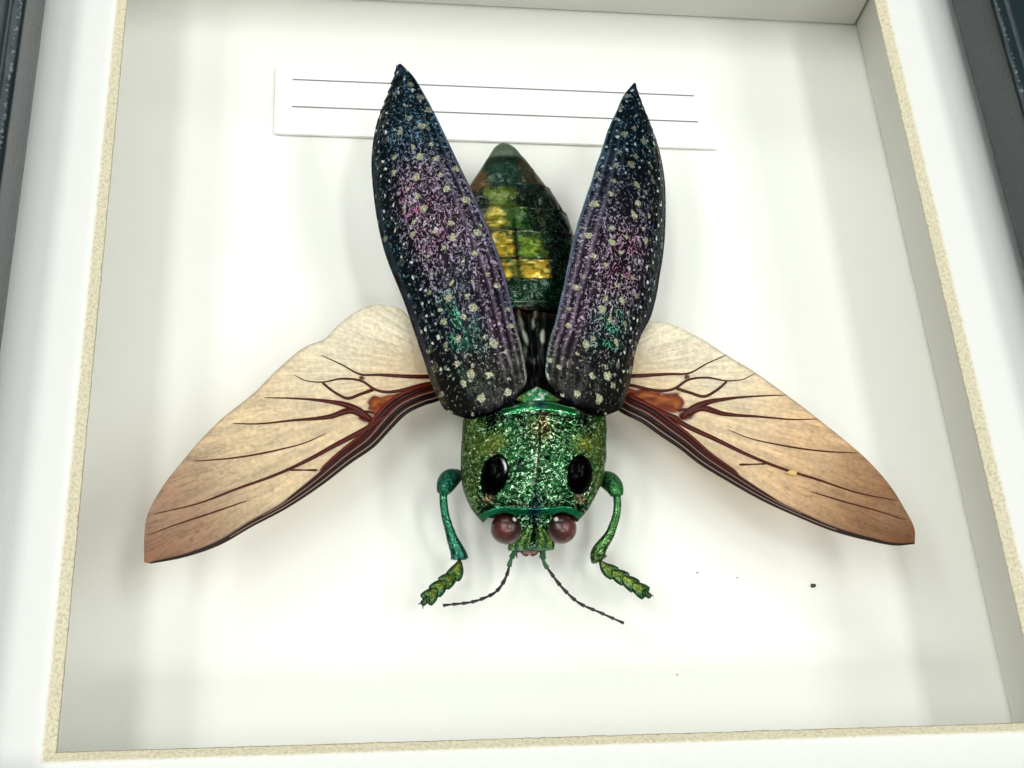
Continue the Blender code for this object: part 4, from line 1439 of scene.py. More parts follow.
@dataclass
class Abdomen:
    """Tapering abdomen: overlapping back plates banded in dark green, teal and gold."""

    # Rows as body_rings takes them.
    stations: tuple = (
        (0.50, -0.60, 5.40, 13.0, 15.9, 9.0),
        (2.00, -0.70, 5.90, 13.0, 16.1, 8.8),
        (6.00, -0.90, 6.45, 13.0, 16.2, 8.8),
        (10.00, -0.90, 6.50, 13.1, 16.1, 9.1),
        (13.20, -1.00, 5.95, 13.1, 15.8, 9.6),
        (17.00, -1.20, 4.30, 13.1, 15.2, 10.4),
        (19.50, -1.25, 2.80, 13.1, 14.7, 11.1),
        (21.30, -1.30, 1.75, 13.1, 14.3, 11.7),
        (22.50, -1.35, 0.95, 13.1, 13.8, 12.3),
        (23.00, -1.40, 0.30, 13.1, 13.4, 12.8),
    )
    edges: tuple = (0.5, 1.3, 2.4, 3.9, 6.3, 9.8, 12.9, 16.4, 20.6, 23.0)  # rear edges of the back plates
    # Colour, span across, span along, softness and strength of each patch.
    patches: tuple = (
        ("042A18", (-7.0, 6.0), (0.9, 3.7), 0.2, 0.9),
        ("2A140C", (-7.0, 6.0), (0.2, 0.8), 0.2, 0.8),
        ("D0AE34", (-3.6, 2.0), (4.1, 6.0), 0.4, 1.0),
        ("2A4A12", (-1.75, -0.95), (3.9, 6.2), 0.3, 0.8),
        ("D0B030", (-4.4, -1.6), (6.7, 9.3), 0.45, 1.0),
        ("8AB034", (-0.9, 1.3), (6.8, 9.1), 0.5, 0.9),
        ("C8B034", (-4.3, -2.4), (10.4, 12.7), 0.5, 1.0),
        ("4A7A2A", (-2.3, -0.2), (10.2, 12.8), 0.5, 0.7),
        ("5E7020", (-3.9, -1.1), (13.1, 15.7), 0.6, 0.8),
        ("123A2A", (-4.2, 1.0), (15.9, 19.6), 0.6, 0.8),
        ("7A5A36", (-7.0, -3.9), (15.4, 20.6), 0.4, 0.75),
        ("4A3A24", (0.2, 3.5), (16.5, 20.6), 0.4, 0.6),
    )
    # Place along, half width and strength of the pale lines between plates.
    seams: tuple = ((9.75, 0.06, 1.0), (2.45, 0.05, 0.9), (1.35, 0.05, 0.9), (6.35, 0.04, 0.5),
                    (12.95, 0.05, 0.5))

    def build(self, cuticle: Material) -> None:
        """Make the abdomen: each plate falls in a low step to the next, and patches are ragged.

        Args:
            cuticle: its finish.
        """
        grid, _, rows = body_rings(self.stations, np.linspace(0.5, 23.0, 280), ring_turns(144, 32), 2.5)
        x = grid[..., 0]
        top = smooth(13.2, 14.6, grid[..., 2])
        # Plates' edges bow to the tail away from the middle line.
        bowed = rows - 0.3 * ((x + 1.2) / 4.5) ** 2 + 0.3 * drift(grid, 1.4, 51)
        edges = np.array(self.edges)
        plate = np.searchsorted(edges, bowed, side="right").clip(1, len(edges) - 1)
        share = (bowed - edges[plate - 1]) / (edges[plate] - edges[plate - 1])
        share = np.where((bowed >= edges[0]) & (bowed < edges[-1]), share, 0)
        lip = sum(ridge(bowed, edge - 0.12, 0.08) for edge in self.edges[1:])
        fade = smooth(23.0, 19.0, rows)
        groove = ridge(x, -1.25, 0.16) * smooth(3.5, 5.0, rows) * smooth(14.0, 10.0, rows)
        wrinkle = grain(grid * (1, 0.5, 1), 0.5, 52)
        height = (-0.34 * (1 - share) ** 2 + 0.08 * lip) * fade - 0.2 * groove + 0.12 * (wrinkle - 0.5)
        grid = raised(grid, height * top)

        fine, broad = grain(grid, 0.35, 53), grain(grid, 1.0, 54)
        rag_x = x + 1.5 * (broad - 0.5) + 0.7 * (fine - 0.5)
        rag_y = rows + 0.8 * drift(grid, 0.8, 55) + 0.45 * drift(grid, 0.3, 56)
        patches = [(colour, band(rag_x, span_x, soft) * band(rag_y, span_y, soft) * strength)
                   for colour, span_x, span_y, soft, strength in self.patches]
        gold = band(x, (-5.0, 2.2), 0.3) * band(rows, (3.8, 12.9), 0.3)
        streaks = grain(grid * (0.5, 2.0, 1), 0.45, 57)
        seam = sum(gain * ridge(bowed, at, width) for at, width, gain in self.seams)
        tint = painted(
            grid, "06120C",
            ("24402C", smooth(0.6, 0.85, wrinkle) * smooth(3.0, 5.0, rows) * 0.5),
            ("164A20", smooth(0.55, 0.8, broad) * smooth(14.0, 10.0, rows) * 0.6),
            *patches,
            ("20400C", gold * smooth(0.5, 0.75, fine) * 0.55),
            ("0C2008", gold * smooth(0.5, 0.2, streaks) * 0.5),
        )
        # Painted highlight: a pale gold gleam along streaks on the gold plates.
        gleam = gold * smooth(0.62, 0.85, streaks) * tint[..., 0] * 2
        light = seam * 0.8 * smooth(4.5, 2.5, np.abs(x + 1.2)) * smooth(0.3, 0.55, broad)
        tint += (linear("F4E684")[:3] - tint) * gleam[..., None]
        tint = painted(grid, tint, ("C9D6B4", light), ("64745F", smooth(20.0, 20.9, rows) * 0.8))
        # Painted shade: darker just behind each plate's edge under the plate before, in the groove and on
        # the underside.
        step = smooth(0.1, 0.02, share) * fade * top
        shade = groove * 0.85 + step + 0.6 * smooth(14.2, 13.0, grid[..., 2])
        marks = marked(grid, 0.7, 0.1 + 0.35 * smooth(15.0, 21.0, rows), shade)
        add_piece("abdomen_plates", tube(grid, tint, marks), cuticle, "gold_green_cuticle", "abdomen")


# --- wings ---
@dataclass
class WingCases:
    """The two raised wing cases: domed, ribbed shells with a beaded edge."""

    middle_x: float = -0.33  # the line that both are measured from
    base: Pair = (4.4, -10.9)  # middle of the base, outwards and along
    tip_x: float = 12.8  # tip's distance outwards
    tip_y: Pair = (28.55, 27.45)  # tip's place along, left and right
    # Height, slope outwards and slope to the tail of the plane under the dome.
    plane: Triple = (21.2, -0.458, 0.124)
    # Rows of share along, outer edge, inner edge and crown off the middle line.
    outline: tuple = (
        (0.00, 3.30, -2.40, 0.7), (0.02, 4.20, -3.15, 0.9), (0.06, 4.70, -3.50, 1.3),
        (0.18, 5.10, -3.80, 1.8), (0.33, 5.45, -4.10, 2.0), (0.50, 6.05, -3.65, 2.1),
        (0.65, 5.70, -2.90, 2.0), (0.78, 4.75, -2.25, 1.6), (0.88, 3.10, -1.65, 1.1),
        (0.95, 1.35, -1.05, 0.6), (1.00, 0.22, -0.25, 0.2),
    )
    # Shares across, from the inner edge, of the low ridges.
    ribs: tuple = (0.07, 0.15, 0.24, 0.42, 0.64, 0.82)
    thickness: float = 0.5  # of the shell, in its middle
    shoulder_reach: float = 1.1  # how far the base bows forwards
    rows: int = 400
    columns: int = 108
    under_columns: int = 16

    def surface(self, side: Side, along: Array, across: Array) -> tuple[Array, Array, Array]:
        """Dome over a tilted plane between the outline's edges.

        Args:
            side: which wing case; the right one's base stands further in, and it is shorter.
            along: shares from the base, one for each row.
            across: shares from the inner edge, one for each column.

        Returns:
            Points with X as distance outwards, the plane's normal, and places along and across
            the wing case in millimetres.
        """
        base, tip = np.array(self.base), np.array([self.tip_x, self.tip_y[side is Side.RIGHT]])
        length, axis = np.linalg.norm(tip - base), unit(tip - base)
        table = np.array(self.outline)
        outer, inner, crown = hermite(table[:, 0], table[:, 1:], along).T
        # Small teeth run along the last part of the outer edge.
        outer = outer - 0.22 * (along * 42 % 1) * smooth(0.84, 0.9, along) * smooth(1.0, 0.985, along)
        if side is Side.RIGHT:
            outer = outer - 0.7 * smooth(0.33, 0.2, along) + 0.25 * band(along, (0.3, 0.42), 0.05)
            inner = inner - 1.1 * smooth(0.34, 0.03, along) + 0.2 * smooth(0.8, 0.9, along)
        offset = inner[:, None] + (outer - inner)[:, None] * across
        bow = self.shoulder_reach * (4 * across * (1 - across)) ** 0.7 * (1 - along[:, None]) ** 8
        advance = along[:, None] * length - bow
        plan = base + advance[..., None] * axis + offset[..., None] * (axis[1], -axis[0])
        height, slope_out, slope_tail = self.plane
        z = height + slope_out * plan[..., 0] + slope_tail * plan[..., 1]
        normal = unit(np.array([-slope_out, -slope_tail, 1.0]))
        dome = crown[:, None] * (1 - np.abs(2 * across - 1) ** 2.4)
        points = np.concatenate([plan, z[..., None]], axis=2) + dome[..., None] * normal
        way = np.broadcast_to((along * length)[:, None], offset.shape)
        return points, normal, np.stack([way, offset, np.full_like(way, 3.0 + side.value)], axis=2)

    def case(self, side: Side) -> Solid:
        """One wing case: dense upper skin and a plain lower skin in one closed ring per row.

        Args:
            side: which one.

        Returns:
            The closed wing case.
        """
        along = np.linspace(0, 1, self.rows) ** 1.25
        over = 0.5 - 0.5 * np.cos(np.linspace(0.03, 0.97, self.columns) * np.pi)
        over = (over - over[0]) / (over[-1] - over[0])
        under = np.linspace(0.985, 0.015, self.under_columns)
        upper, normal, flow = self.surface(side, along, over)
        lower, _, lower_flow = self.surface(side, along, under)
        thin = self.thickness * (1 - 0.65 * np.abs(2 * under - 1) ** 5) * smooth(1.04, 0.9, along)[:, None]
        lower = lower - thin[..., None] * normal

        s, t = np.broadcast_arrays(along[:, None], over)
        wave = 0.04 * np.sin(s * 7 + t * 5) + 0.02 * drift(flow, 1.6, 66)
        ribs = sum(ridge(t + wave * smooth(0.0, 0.4, t), place, 0.016) for place in self.ribs)
        ribs = ribs * smooth(0.01, 0.1, s) * smooth(0.93, 0.7, s)
        bead = ridge(t, 0, 0.02) + ridge(t, 1, 0.025)
        rough = smooth(0.55, 0.1, s)
        waves = 0.25 * drift(flow, 2.4, 62) + 0.14 * drift(flow, 0.7, 65)
        height = 0.07 * ribs + 0.14 * bead + waves * smooth(1.0, 0.8, t)
        height -= 0.07 * smooth(0.5, 0.1, pits(flow, 0.5, 61)) * (0.3 + 0.7 * rough)
        upper = upper + (height * smooth(0.0, 0.05, along)[:, None])[..., None] * normal

        tint, marks = self.colours(side, s, t, flow, ribs)
        rings = np.concatenate([upper, lower], axis=1)
        rings[..., 0] = self.middle_x + side.value * rings[..., 0]
        return tube(rings, np.concatenate([tint, painted(lower, "16101C")], axis=1),
                    np.concatenate([marks, marked(lower, 0.2, 0.0, 1.0)], axis=1),
                    np.concatenate([flow, lower_flow], axis=1))

    def colours(self, side: Side, s: Array, t: Array, flow: Array, ribs: Array) -> tuple[Array, Array]:
        """Zones of colour over a wing case.

        Args:
            side: which wing case; the right one's inner edge gets a blue-green painted sheen.
            s: share along, from the base.
            t: share across, from the inner edge.
            flow: places in millimetres.
            ribs: 1 on a rib.

        Returns:
            Tint, and marks for wrinkle strength, dots and plain tint.
        """
        cloud, fine = grain(flow, 3.2, 63), grain(flow, 0.9, 64)
        middle = 0.38 if side is Side.RIGHT else 0.52
        violet = bell(s, t, (middle - 0.02, 0.45), (0.2, 0.34)) * (0.7 + 0.6 * cloud)
        green = bell(s, t, (0.19, 0.55), (0.09, 0.2)) * smooth(0.25, 0.55, fine)
        margin = smooth(0.9, 0.97, t) * smooth(0.02, 0.08, s)
        inner = smooth(0.035, 0.01, t)
        tail = smooth(0.74, 0.9, s)
        tint = painted(
            flow, "6A7890",
            ("9A9C8C", smooth(0.22, 0.08, s)),
            ("D0B8CC", violet),
            ("C05890", bell(s, t, (middle, 0.5), (0.1, 0.24)) * smooth(0.3, 0.6, fine) * 0.7),
            ("C8A0C0", bell(s, t, (0.24, 0.16), (0.16, 0.14)) * smooth(0.2, 0.6, cloud)),
            ("6FC8A4", green),
            ("5A88A0", smooth(0.62, 0.78, s) * 0.9),
            ("3A7A8A", smooth(0.66, 0.85, t) * smooth(0.15, 0.4, s) * 0.8),
            ("4A2A26" if side is Side.RIGHT else "3E1A18", margin * (0.45 + 0.5 * fine)),
            ("0E2238", tail * smooth(0.94, 1.0, s)),
            ("C4B4C4", ribs * 0.35 * smooth(0.75, 0.4, s)),
            # Painted sheen: the right wing case's inner edge is blue-green, the left one's dark.
            ("35646C" if side is Side.RIGHT else "1A1A24", inner * 0.6),
            ("0A0A10", smooth(0.02, 0.0, s)),
        )
        strength = 0.6 + 0.5 * violet + 0.35 * (cloud - 0.4) + 0.4 * green
        strength *= (1 - 0.45 * smooth(middle + 0.14, middle + 0.38, s)) * (1 - 0.55 * smooth(0.68, 0.82, t))
        strength *= (0.3 + 0.7 * smooth(0.03, 0.24, s)) * (0.85 if side is Side.RIGHT else 1.0)
        stripes = sum(ridge(t, place, 0.012) for place in (0.095, 0.17, 0.46, 0.70))
        dotty = smooth(0.66, 0.76, t) * smooth(0.95, 0.9, t) * smooth(0.03, 0.15, s)
        dotty += 0.6 * smooth(middle + 0.16, middle + 0.34, s)
        plain = 0.5 * margin + inner + smooth(0.95, 1.0, s) + 0.3 * ribs * smooth(0.3, 0.15, t)
        return tint, marked(flow, strength - 0.8 * stripes, dotty, plain)

    def build(self, shell: Material) -> None:
        """Make both wing cases.

        Args:
            shell: their finish.
        """
        for side in Side:
            add_piece(f"wing_case_{side.label}", self.case(side), shell, "violet_black_cuticle",
                      f"elytron_{side.label}")


@dataclass(frozen=True)
class WingOutline:
    """A hind wing's edges, from root to tip: distance from the wings' middle line, and Y."""

    front: tuple
    rear: tuple
    colours: tuple[str, str]


@dataclass
class HindWings:
    """The two spread hind wings: film between a bundle of strands and free veins.

    Places are distance from the wings' middle line and Y, on a rising plane.
    """

    middle_x: float = -0.825
    plane: Triple = (11.24, 0.268, 0.14)
    # Each wing's edges.
    outlines: tuple = (
        (Side.LEFT, WingOutline(
            ((6.8, -5.4), (8.6, -8.1), (10.1, -8.8), (11.9, -9.9), (13.6, -11.8), (15.0, -13.5),
             (17.4, -15.5), (20.1, -17.9), (23.3, -20.4), (26.4, -22.4), (29.2, -24.3), (32.2, -25.6),
             (34.8, -26.3)),
            ((6.8, -3.0), (9.0, -1.2), (11.4, 0.1), (12.4, 1.0), (13.9, 1.2), (16.4, 0.3), (18.5, -1.5),
             (20.0, -3.4), (21.7, -4.4), (23.9, -6.5), (26.7, -9.9), (29.5, -12.8), (32.5, -16.8),
             (34.5, -20.0), (35.4, -22.3), (35.5, -24.2), (35.4, -26.2)),
            ("EADABC", "B08064"))),
        (Side.RIGHT, WingOutline(
            ((6.8, -5.4), (9.7, -9.4), (11.6, -10.7), (13.2, -12.2), (14.8, -13.6), (16.7, -15.5),
             (19.2, -17.5), (22.3, -19.8), (25.4, -21.7), (28.5, -23.4), (31.6, -24.6), (34.1, -25.3),
             (35.7, -25.3)),
            ((6.8, -3.0), (9.0, -1.2), (13.0, 0.0), (14.7, -0.4), (17.1, -1.8), (20.3, -4.6), (22.6, -6.4),
             (25.7, -9.4), (28.4, -12.3), (30.8, -14.9), (32.5, -16.9), (34.2, -19.5), (35.2, -21.7),
             (35.9, -24.2), (35.7, -25.3)),
            ("EACBA0", "8A5028"))),
    )
    film: float = 0.08  # thickness of the film
    root: Pair = (4.6, -4.9)  # where the pleats and crinkles fan out from
    turn: float = 0.0125  # how far a place turns with its distance from the middle line, as a slope
    vein_gain: float = 1.35  # what the veins' widths are multiplied by
    rows: int = 210
    columns: int = 104
    under_columns: int = 36
    # Each vein's points and its half widths at evenly spaced shares.
    veins: tuple = (
        (((6.2, -4.9), (9.9, -5.7), (14.8, -6.1), (16.4, -6.25), (18.3, -5.5), (20.4, -4.8)),
         (0.24, 0.18, 0.16, 0.1, 0.06, 0.03)),
        (((6.4, -5.2), (10.0, -6.5), (15.1, -7.65), (16.3, -6.95), (18.2, -6.9), (20.2, -7.5), (21.8, -7.5),
          (22.9, -7.05)), (0.22, 0.16, 0.14, 0.12, 0.1, 0.08, 0.05, 0.03)),
        (((20.2, -7.5), (18.9, -8.45), (17.8, -8.9), (16.4, -8.3), (15.1, -7.65)),
         (0.09, 0.1, 0.12, 0.12, 0.14)),
        (((25.6, -9.72), (23.0, -9.5), (20.0, -9.42), (17.6, -9.65), (16.2, -10.2), (15.4, -10.9)),
         (0.03, 0.06, 0.09, 0.16, 0.26, 0.2)),
        (((28.4, -12.57), (26.4, -12.4), (22.8, -11.65), (19.4, -10.9), (17.3, -10.1), (15.8, -10.6)),
         (0.03, 0.06, 0.08, 0.13, 0.24, 0.2)),
        (((31.75, -16.45), (28.3, -15.8), (24.2, -14.6), (21.6, -13.6), (19.7, -12.5)),
         (0.03, 0.06, 0.07, 0.05, 0.03)),
        (((14.4, -10.5), (15.7, -11.5), (18.6, -13.4), (21.6, -15.4), (24.6, -17.1), (27.4, -18.4),
          (31.3, -20.3), (34.9, -21.5)), (0.2, 0.2, 0.16, 0.12, 0.1, 0.08, 0.05, 0.03)),
        (((23.1, -16.4), (20.5, -16.2)), (0.08, 0.05, 0.1)),
        (((26.8, -19.6), (29.7, -20.9), (33.6, -22.6), (35.2, -23.4)), (0.04, 0.06, 0.05, 0.03)),
        (((8.2, -6.2), (11.2, -8.2), (14.0, -10.2), (15.3, -10.9)), (0.18, 0.16, 0.16, 0.22)),
        (((16.4, -10.2), (15.8, -10.0), (15.1, -10.0)), (0.2, 0.12, 0.06)),
    )
    # Middle and half sizes of the dark spots on the film.
    blotches: tuple = ((15.9, -10.6, 0.9, 0.6), (16.9, -9.9, 0.75, 0.42), (16.3, -6.6, 0.35, 0.3),
                       (17.9, -10.2, 0.6, 0.25))
    # Place across the bundle, half width, colour and last share of each.
    strands: tuple = (
        (0.04, 0.2, "140A08", 1.0), (0.22, 0.17, "2A0E0A", 0.97), (0.4, 0.19, "1A0C0A", 0.9),
        (0.58, 0.16, "4A140C", 0.75), (0.76, 0.18, "2A100C", 0.62), (0.95, 0.17, "5A1A0E", 0.5),
        # The two pale strands stand in for thin glints along the bundle: painted highlights.
        (0.13, 0.02, "A89080", 0.8), (0.49, 0.02, "98786A", 0.7),
    )
    dark_strands: int = 6  # how many of them are dark; the pale ones lie on top
    # Shares of the wing's length at which bundle gives the bundle's width.
    bundle_at: tuple = (0.0, 0.25, 0.45, 0.65, 0.95, 1.0)
    bundle: tuple = (1.71, 1.9, 1.33, 0.65, 0.3, 0.19)

    def sway(self, plan: Array, side: Side) -> Array:
        """Turn places a little to the tail on the right wing, to the head on the left."""
        return plan + side.value * self.turn * plan[..., :1] * (0, 1)

    def fan(self, plan: Array) -> tuple[Array, Array]:
        """Angle round the wing's root and distance from it."""
        x, y = np.moveaxis(plan - self.root, -1, 0)
        return np.arctan2(y, x), np.hypot(x, y)

    def lifted(self, plan: Array, rise: Array | float, side: Side) -> Array:
        """Put places on the wing's plane, with the pleats that fan out from the root.

        Args:
            plan: (..., 2) places.
            rise: height over the plane.
            side: which wing.

        Returns:
            (..., 3) points.
        """
        height, slope_out, slope_tail = self.plane
        turn, out = self.fan(plan)
        pleat = 0.1 * np.sin(turn * 16 + 0.6) * smooth(5, 14, out)
        z = height + slope_out * plan[..., 0] + slope_tail * plan[..., 1] + pleat + rise
        return np.stack([self.middle_x + side.value * plan[..., 0], plan[..., 1], z], axis=-1)

    def flow_field(self, plan: Array) -> Array:
        """Way round the root, many times finer than the way out from it, for the crinkles."""
        turn, out = self.fan(plan)
        return np.stack([turn * 34, out * 0.15, np.zeros_like(turn)], axis=-1)

    def membrane(self, side: Side, outline: WingOutline) -> Solid:
        """The film: upper and lower skin a film's thickness apart, tinted from cream to brown.

        Args:
            side: which wing.
            outline: its edges.

        Returns:
            The closed film.
        """
        along = np.linspace(0, 1, self.rows)
        chord = np.concatenate([np.linspace(0, 1, self.columns), np.linspace(1, 0, self.under_columns)])
        share, chord = np.broadcast_arrays(along[:, None], chord)
        front, rear = (along_line(edge, along)[:, None] for edge in (outline.front, outline.rear))
        plan = front + (rear - front) * chord[..., None]
        skin = np.where(np.arange(chord.shape[1]) < self.columns, 0.5, -0.5)
        rings = self.lifted(plan, skin * self.film * smooth(0, 0.03, chord) * smooth(1, 0.97, chord), side)

        still = plan - side.value * self.turn * plan[..., :1] * (0, 1)
        x, y = np.moveaxis(still, -1, 0)
        cloud = grain(np.concatenate([plan, share[..., None]], axis=-1), 2.8, 71)
        ragged = 0.5 * (grain(np.concatenate([plan * (1, 3), share[..., None]], axis=-1), 0.8, 72) - 0.5)
        vein = sum(smooth(0.35, 0.6, bell(x, y, (cx, cy), (wide, tall)) + ragged * 0.4)
                   for cx, cy, wide, tall in self.blotches)
        rim = np.maximum(smooth(0.012, 0.0, chord), smooth(0.988, 1.0, chord)) * smooth(0.15, 0.5, share)
        deep = np.linalg.norm(rear - front, axis=-1) * chord
        under = smooth(0.15, -0.1, deep - np.interp(along, self.bundle_at, self.bundle)[:, None])
        wedge = streak(still, (8.5, -6.7), (14.8, -9.3), (0.3, 0.95)) + 1.6 * ragged
        tint = painted(
            rings, "F9E9CE",
            ("F8F1E0", smooth(0.35, 0.8, chord) * smooth(0.62, 0.3, share)),
            (outline.colours[0], smooth(0.35, 0.8, share) * (0.6 + 0.5 * cloud)),
            (outline.colours[1], smooth(0.6, 1.0, share) * (0.6 + 0.5 * cloud)),
            ("742A0C", smooth(1.15, 0.95, wedge)),
            ("C06A20", smooth(0.95, 0.45, wedge) * smooth(-0.14, 0.12, ragged) * 0.9),
            ("32140E", under * 0.95),
            ("8A5A3A", rim * 0.8),
            ("521606", vein),
        )
        solid = np.maximum.reduce([vein, rim * 0.8, under * 0.5, smooth(1.1, 0.9, wedge) * 0.6])
        marks = marked(rings, solid, 0.3 + 0.7 * smooth(0.35, 0.8, share))
        return tube(rings, tint, marks, self.flow_field(plan))

    def rod(self, plan: Array, half: Array, rise: float, side: Side, colour: str) -> Solid:
        """A hollow vein: an oval rod along a line on the wing.

        Args:
            plan: (points, 2) the vein's line.
            half: half width at evenly spaced shares of it.
            rise: how far it stands over the film.
            side: which wing.
            colour: its hex colour.

        Returns:
            The closed rod.
        """
        plan = np.asarray(plan, float)
        count = max(24, 10 * len(plan))
        shares = np.linspace(0, 1, count)
        widths = np.interp(shares, np.linspace(0, 1, len(half)), half) * rounded(shares, 3 / count)
        rings = limb_rings(self.lifted(plan, 0.0, side), shares, widths, widths * 0.7, 10, rise)
        return tube(rings, colour, marked(rings, 1.0), np.zeros_like(rings))

    def bundled(self, side: Side, outline: WingOutline) -> list[Solid]:
        """The strands along the front edge, which close up and end one after another.

        Args:
            side: which wing.
            outline: its edges.

        Returns:
            A closed rod for each strand.
        """
        solids = []
        for number, (place, half, colour, stop) in enumerate(self.strands):
            shares = np.linspace(0, stop, 32)
            front = along_line(outline.front, shares)
            inward = unit(np.gradient(front, axis=0) @ np.array([[0, 1], [-1, 0]]))
            wide = np.interp(shares, self.bundle_at, self.bundle)[:, None]
            line = front + inward * (0.1 + place * wide)
            root = np.array([[5.3, -4.9 + 0.5 * place]])
            widths = half * wide[:, 0] / self.bundle[1] * rounded(shares / stop, 0.04) + 0.025
            rise = 0.1 if number < self.dark_strands else 0.2
            solids.append(self.rod(np.concatenate([root, line]), widths, rise, side, colour))
        return solids

    def lump(self, side: Side) -> Solid:
        """A small tan crust that lies on the right wing.

        Args:
            side: the wing it lies on.

        Returns:
            The closed crust.
        """
        ball = ball_rings(14, 20)
        ball *= (0.75 + 0.5 * grain(ball, 0.7, 77))[..., None]
        rings = ball * (0.55, 0.28, 0.22) + self.lifted(np.array([25.4, -17.3]), 0.12, side)
        return tube(rings, "D8B878", marked(rings, 1.0), np.zeros_like(rings))

    def build(self, film: Material) -> None:
        """Make both wings.

        Args:
            film: their finish.
        """
        for side, outline in self.outlines:
            solids = [self.membrane(side, outline), *self.bundled(side, outline)]
            solids += [self.rod(self.sway(np.array(line), side), self.vein_gain * np.array(half), 0.05, side,
                                "471004") for line, half in self.veins]
            if side is Side.RIGHT:
                solids.append(self.lump(side))
            add_piece(f"hind_wing_{side.label}", joined(solids), film, "amber_wing_membrane",
                      f"hindwing_{side.label}")


# --- limbs ---
@dataclass(frozen=True)
class Joint:
    """One closed joint of a leg."""

    widths: tuple  # half widths at evenly spaced shares of it
    flatness: float  # its height against its width
    # The third colour is a painted highlight along the joint's middle.
    colours: tuple[str, str, str]  # hex colours at its base, at its end and along its middle
    pitted: float = 0.35  # how rough it is, from 0 to 1
    blunt: float = 0.08  # share of it over which an end rounds off
    lobes: float = 0.0  # how far its sides run ahead of its middle, in millimetres

    def build(self, line: tuple, span: Pair, rows: int, sides: int, scale: float = 1.0) -> Solid:
        """Carry an oval along a part of the leg's middle line.

        Args:
            line: the leg's middle line.
            span: the joint's first and last share of the line.
            rows: sections along it.
            sides: points round it.
            scale: what its widths and lobes are multiplied by.

        Returns:
            The closed joint.
        """
        within = eased(rows)
        cap = rounded(within, self.blunt)
        widths = np.array(self.widths) * scale
        half = hermite(np.linspace(0, 1, len(widths)), widths, within) * cap
        rings = limb_rings(line, span[0] + (span[1] - span[0]) * within, half, half * self.flatness, sides)
        ahead = unit(np.gradient(rings.mean(axis=1), axis=0))
        turn = full_turn(sides)
        push = self.lobes * scale * np.abs(np.cos(turn)) ** 2 * smooth(0.5, 1.0, within)[:, None]
        rings += ahead[:, None] * push[..., None]
        rings = raised(rings, -0.035 * self.pitted * smooth(0.5, 0.1, pits(rings, 0.26, 81)) * cap[:, None])
        cloud = grain(rings, 0.9, 82)
        base, end, middle = self.colours
        # A pale stripe along the middle of each joint's top and underside: a painted highlight.
        highlight_stripe = np.broadcast_to(smooth(0.75, 0.2, np.abs(np.cos(turn))), cloud.shape)
        tint = painted(
            rings, base,
            (end, np.broadcast_to(smooth(0.1, 0.95, within)[:, None], cloud.shape)),
            ("0E4A4A", smooth(0.6, 0.85, cloud) * 0.4),
            (middle, highlight_stripe * band(within, (0.12, 0.88), 0.1)[:, None] * (0.5 + 0.5 * cloud)),
        )
        return tube(rings, tint, marked(rings, 1 - self.pitted, 0.15))


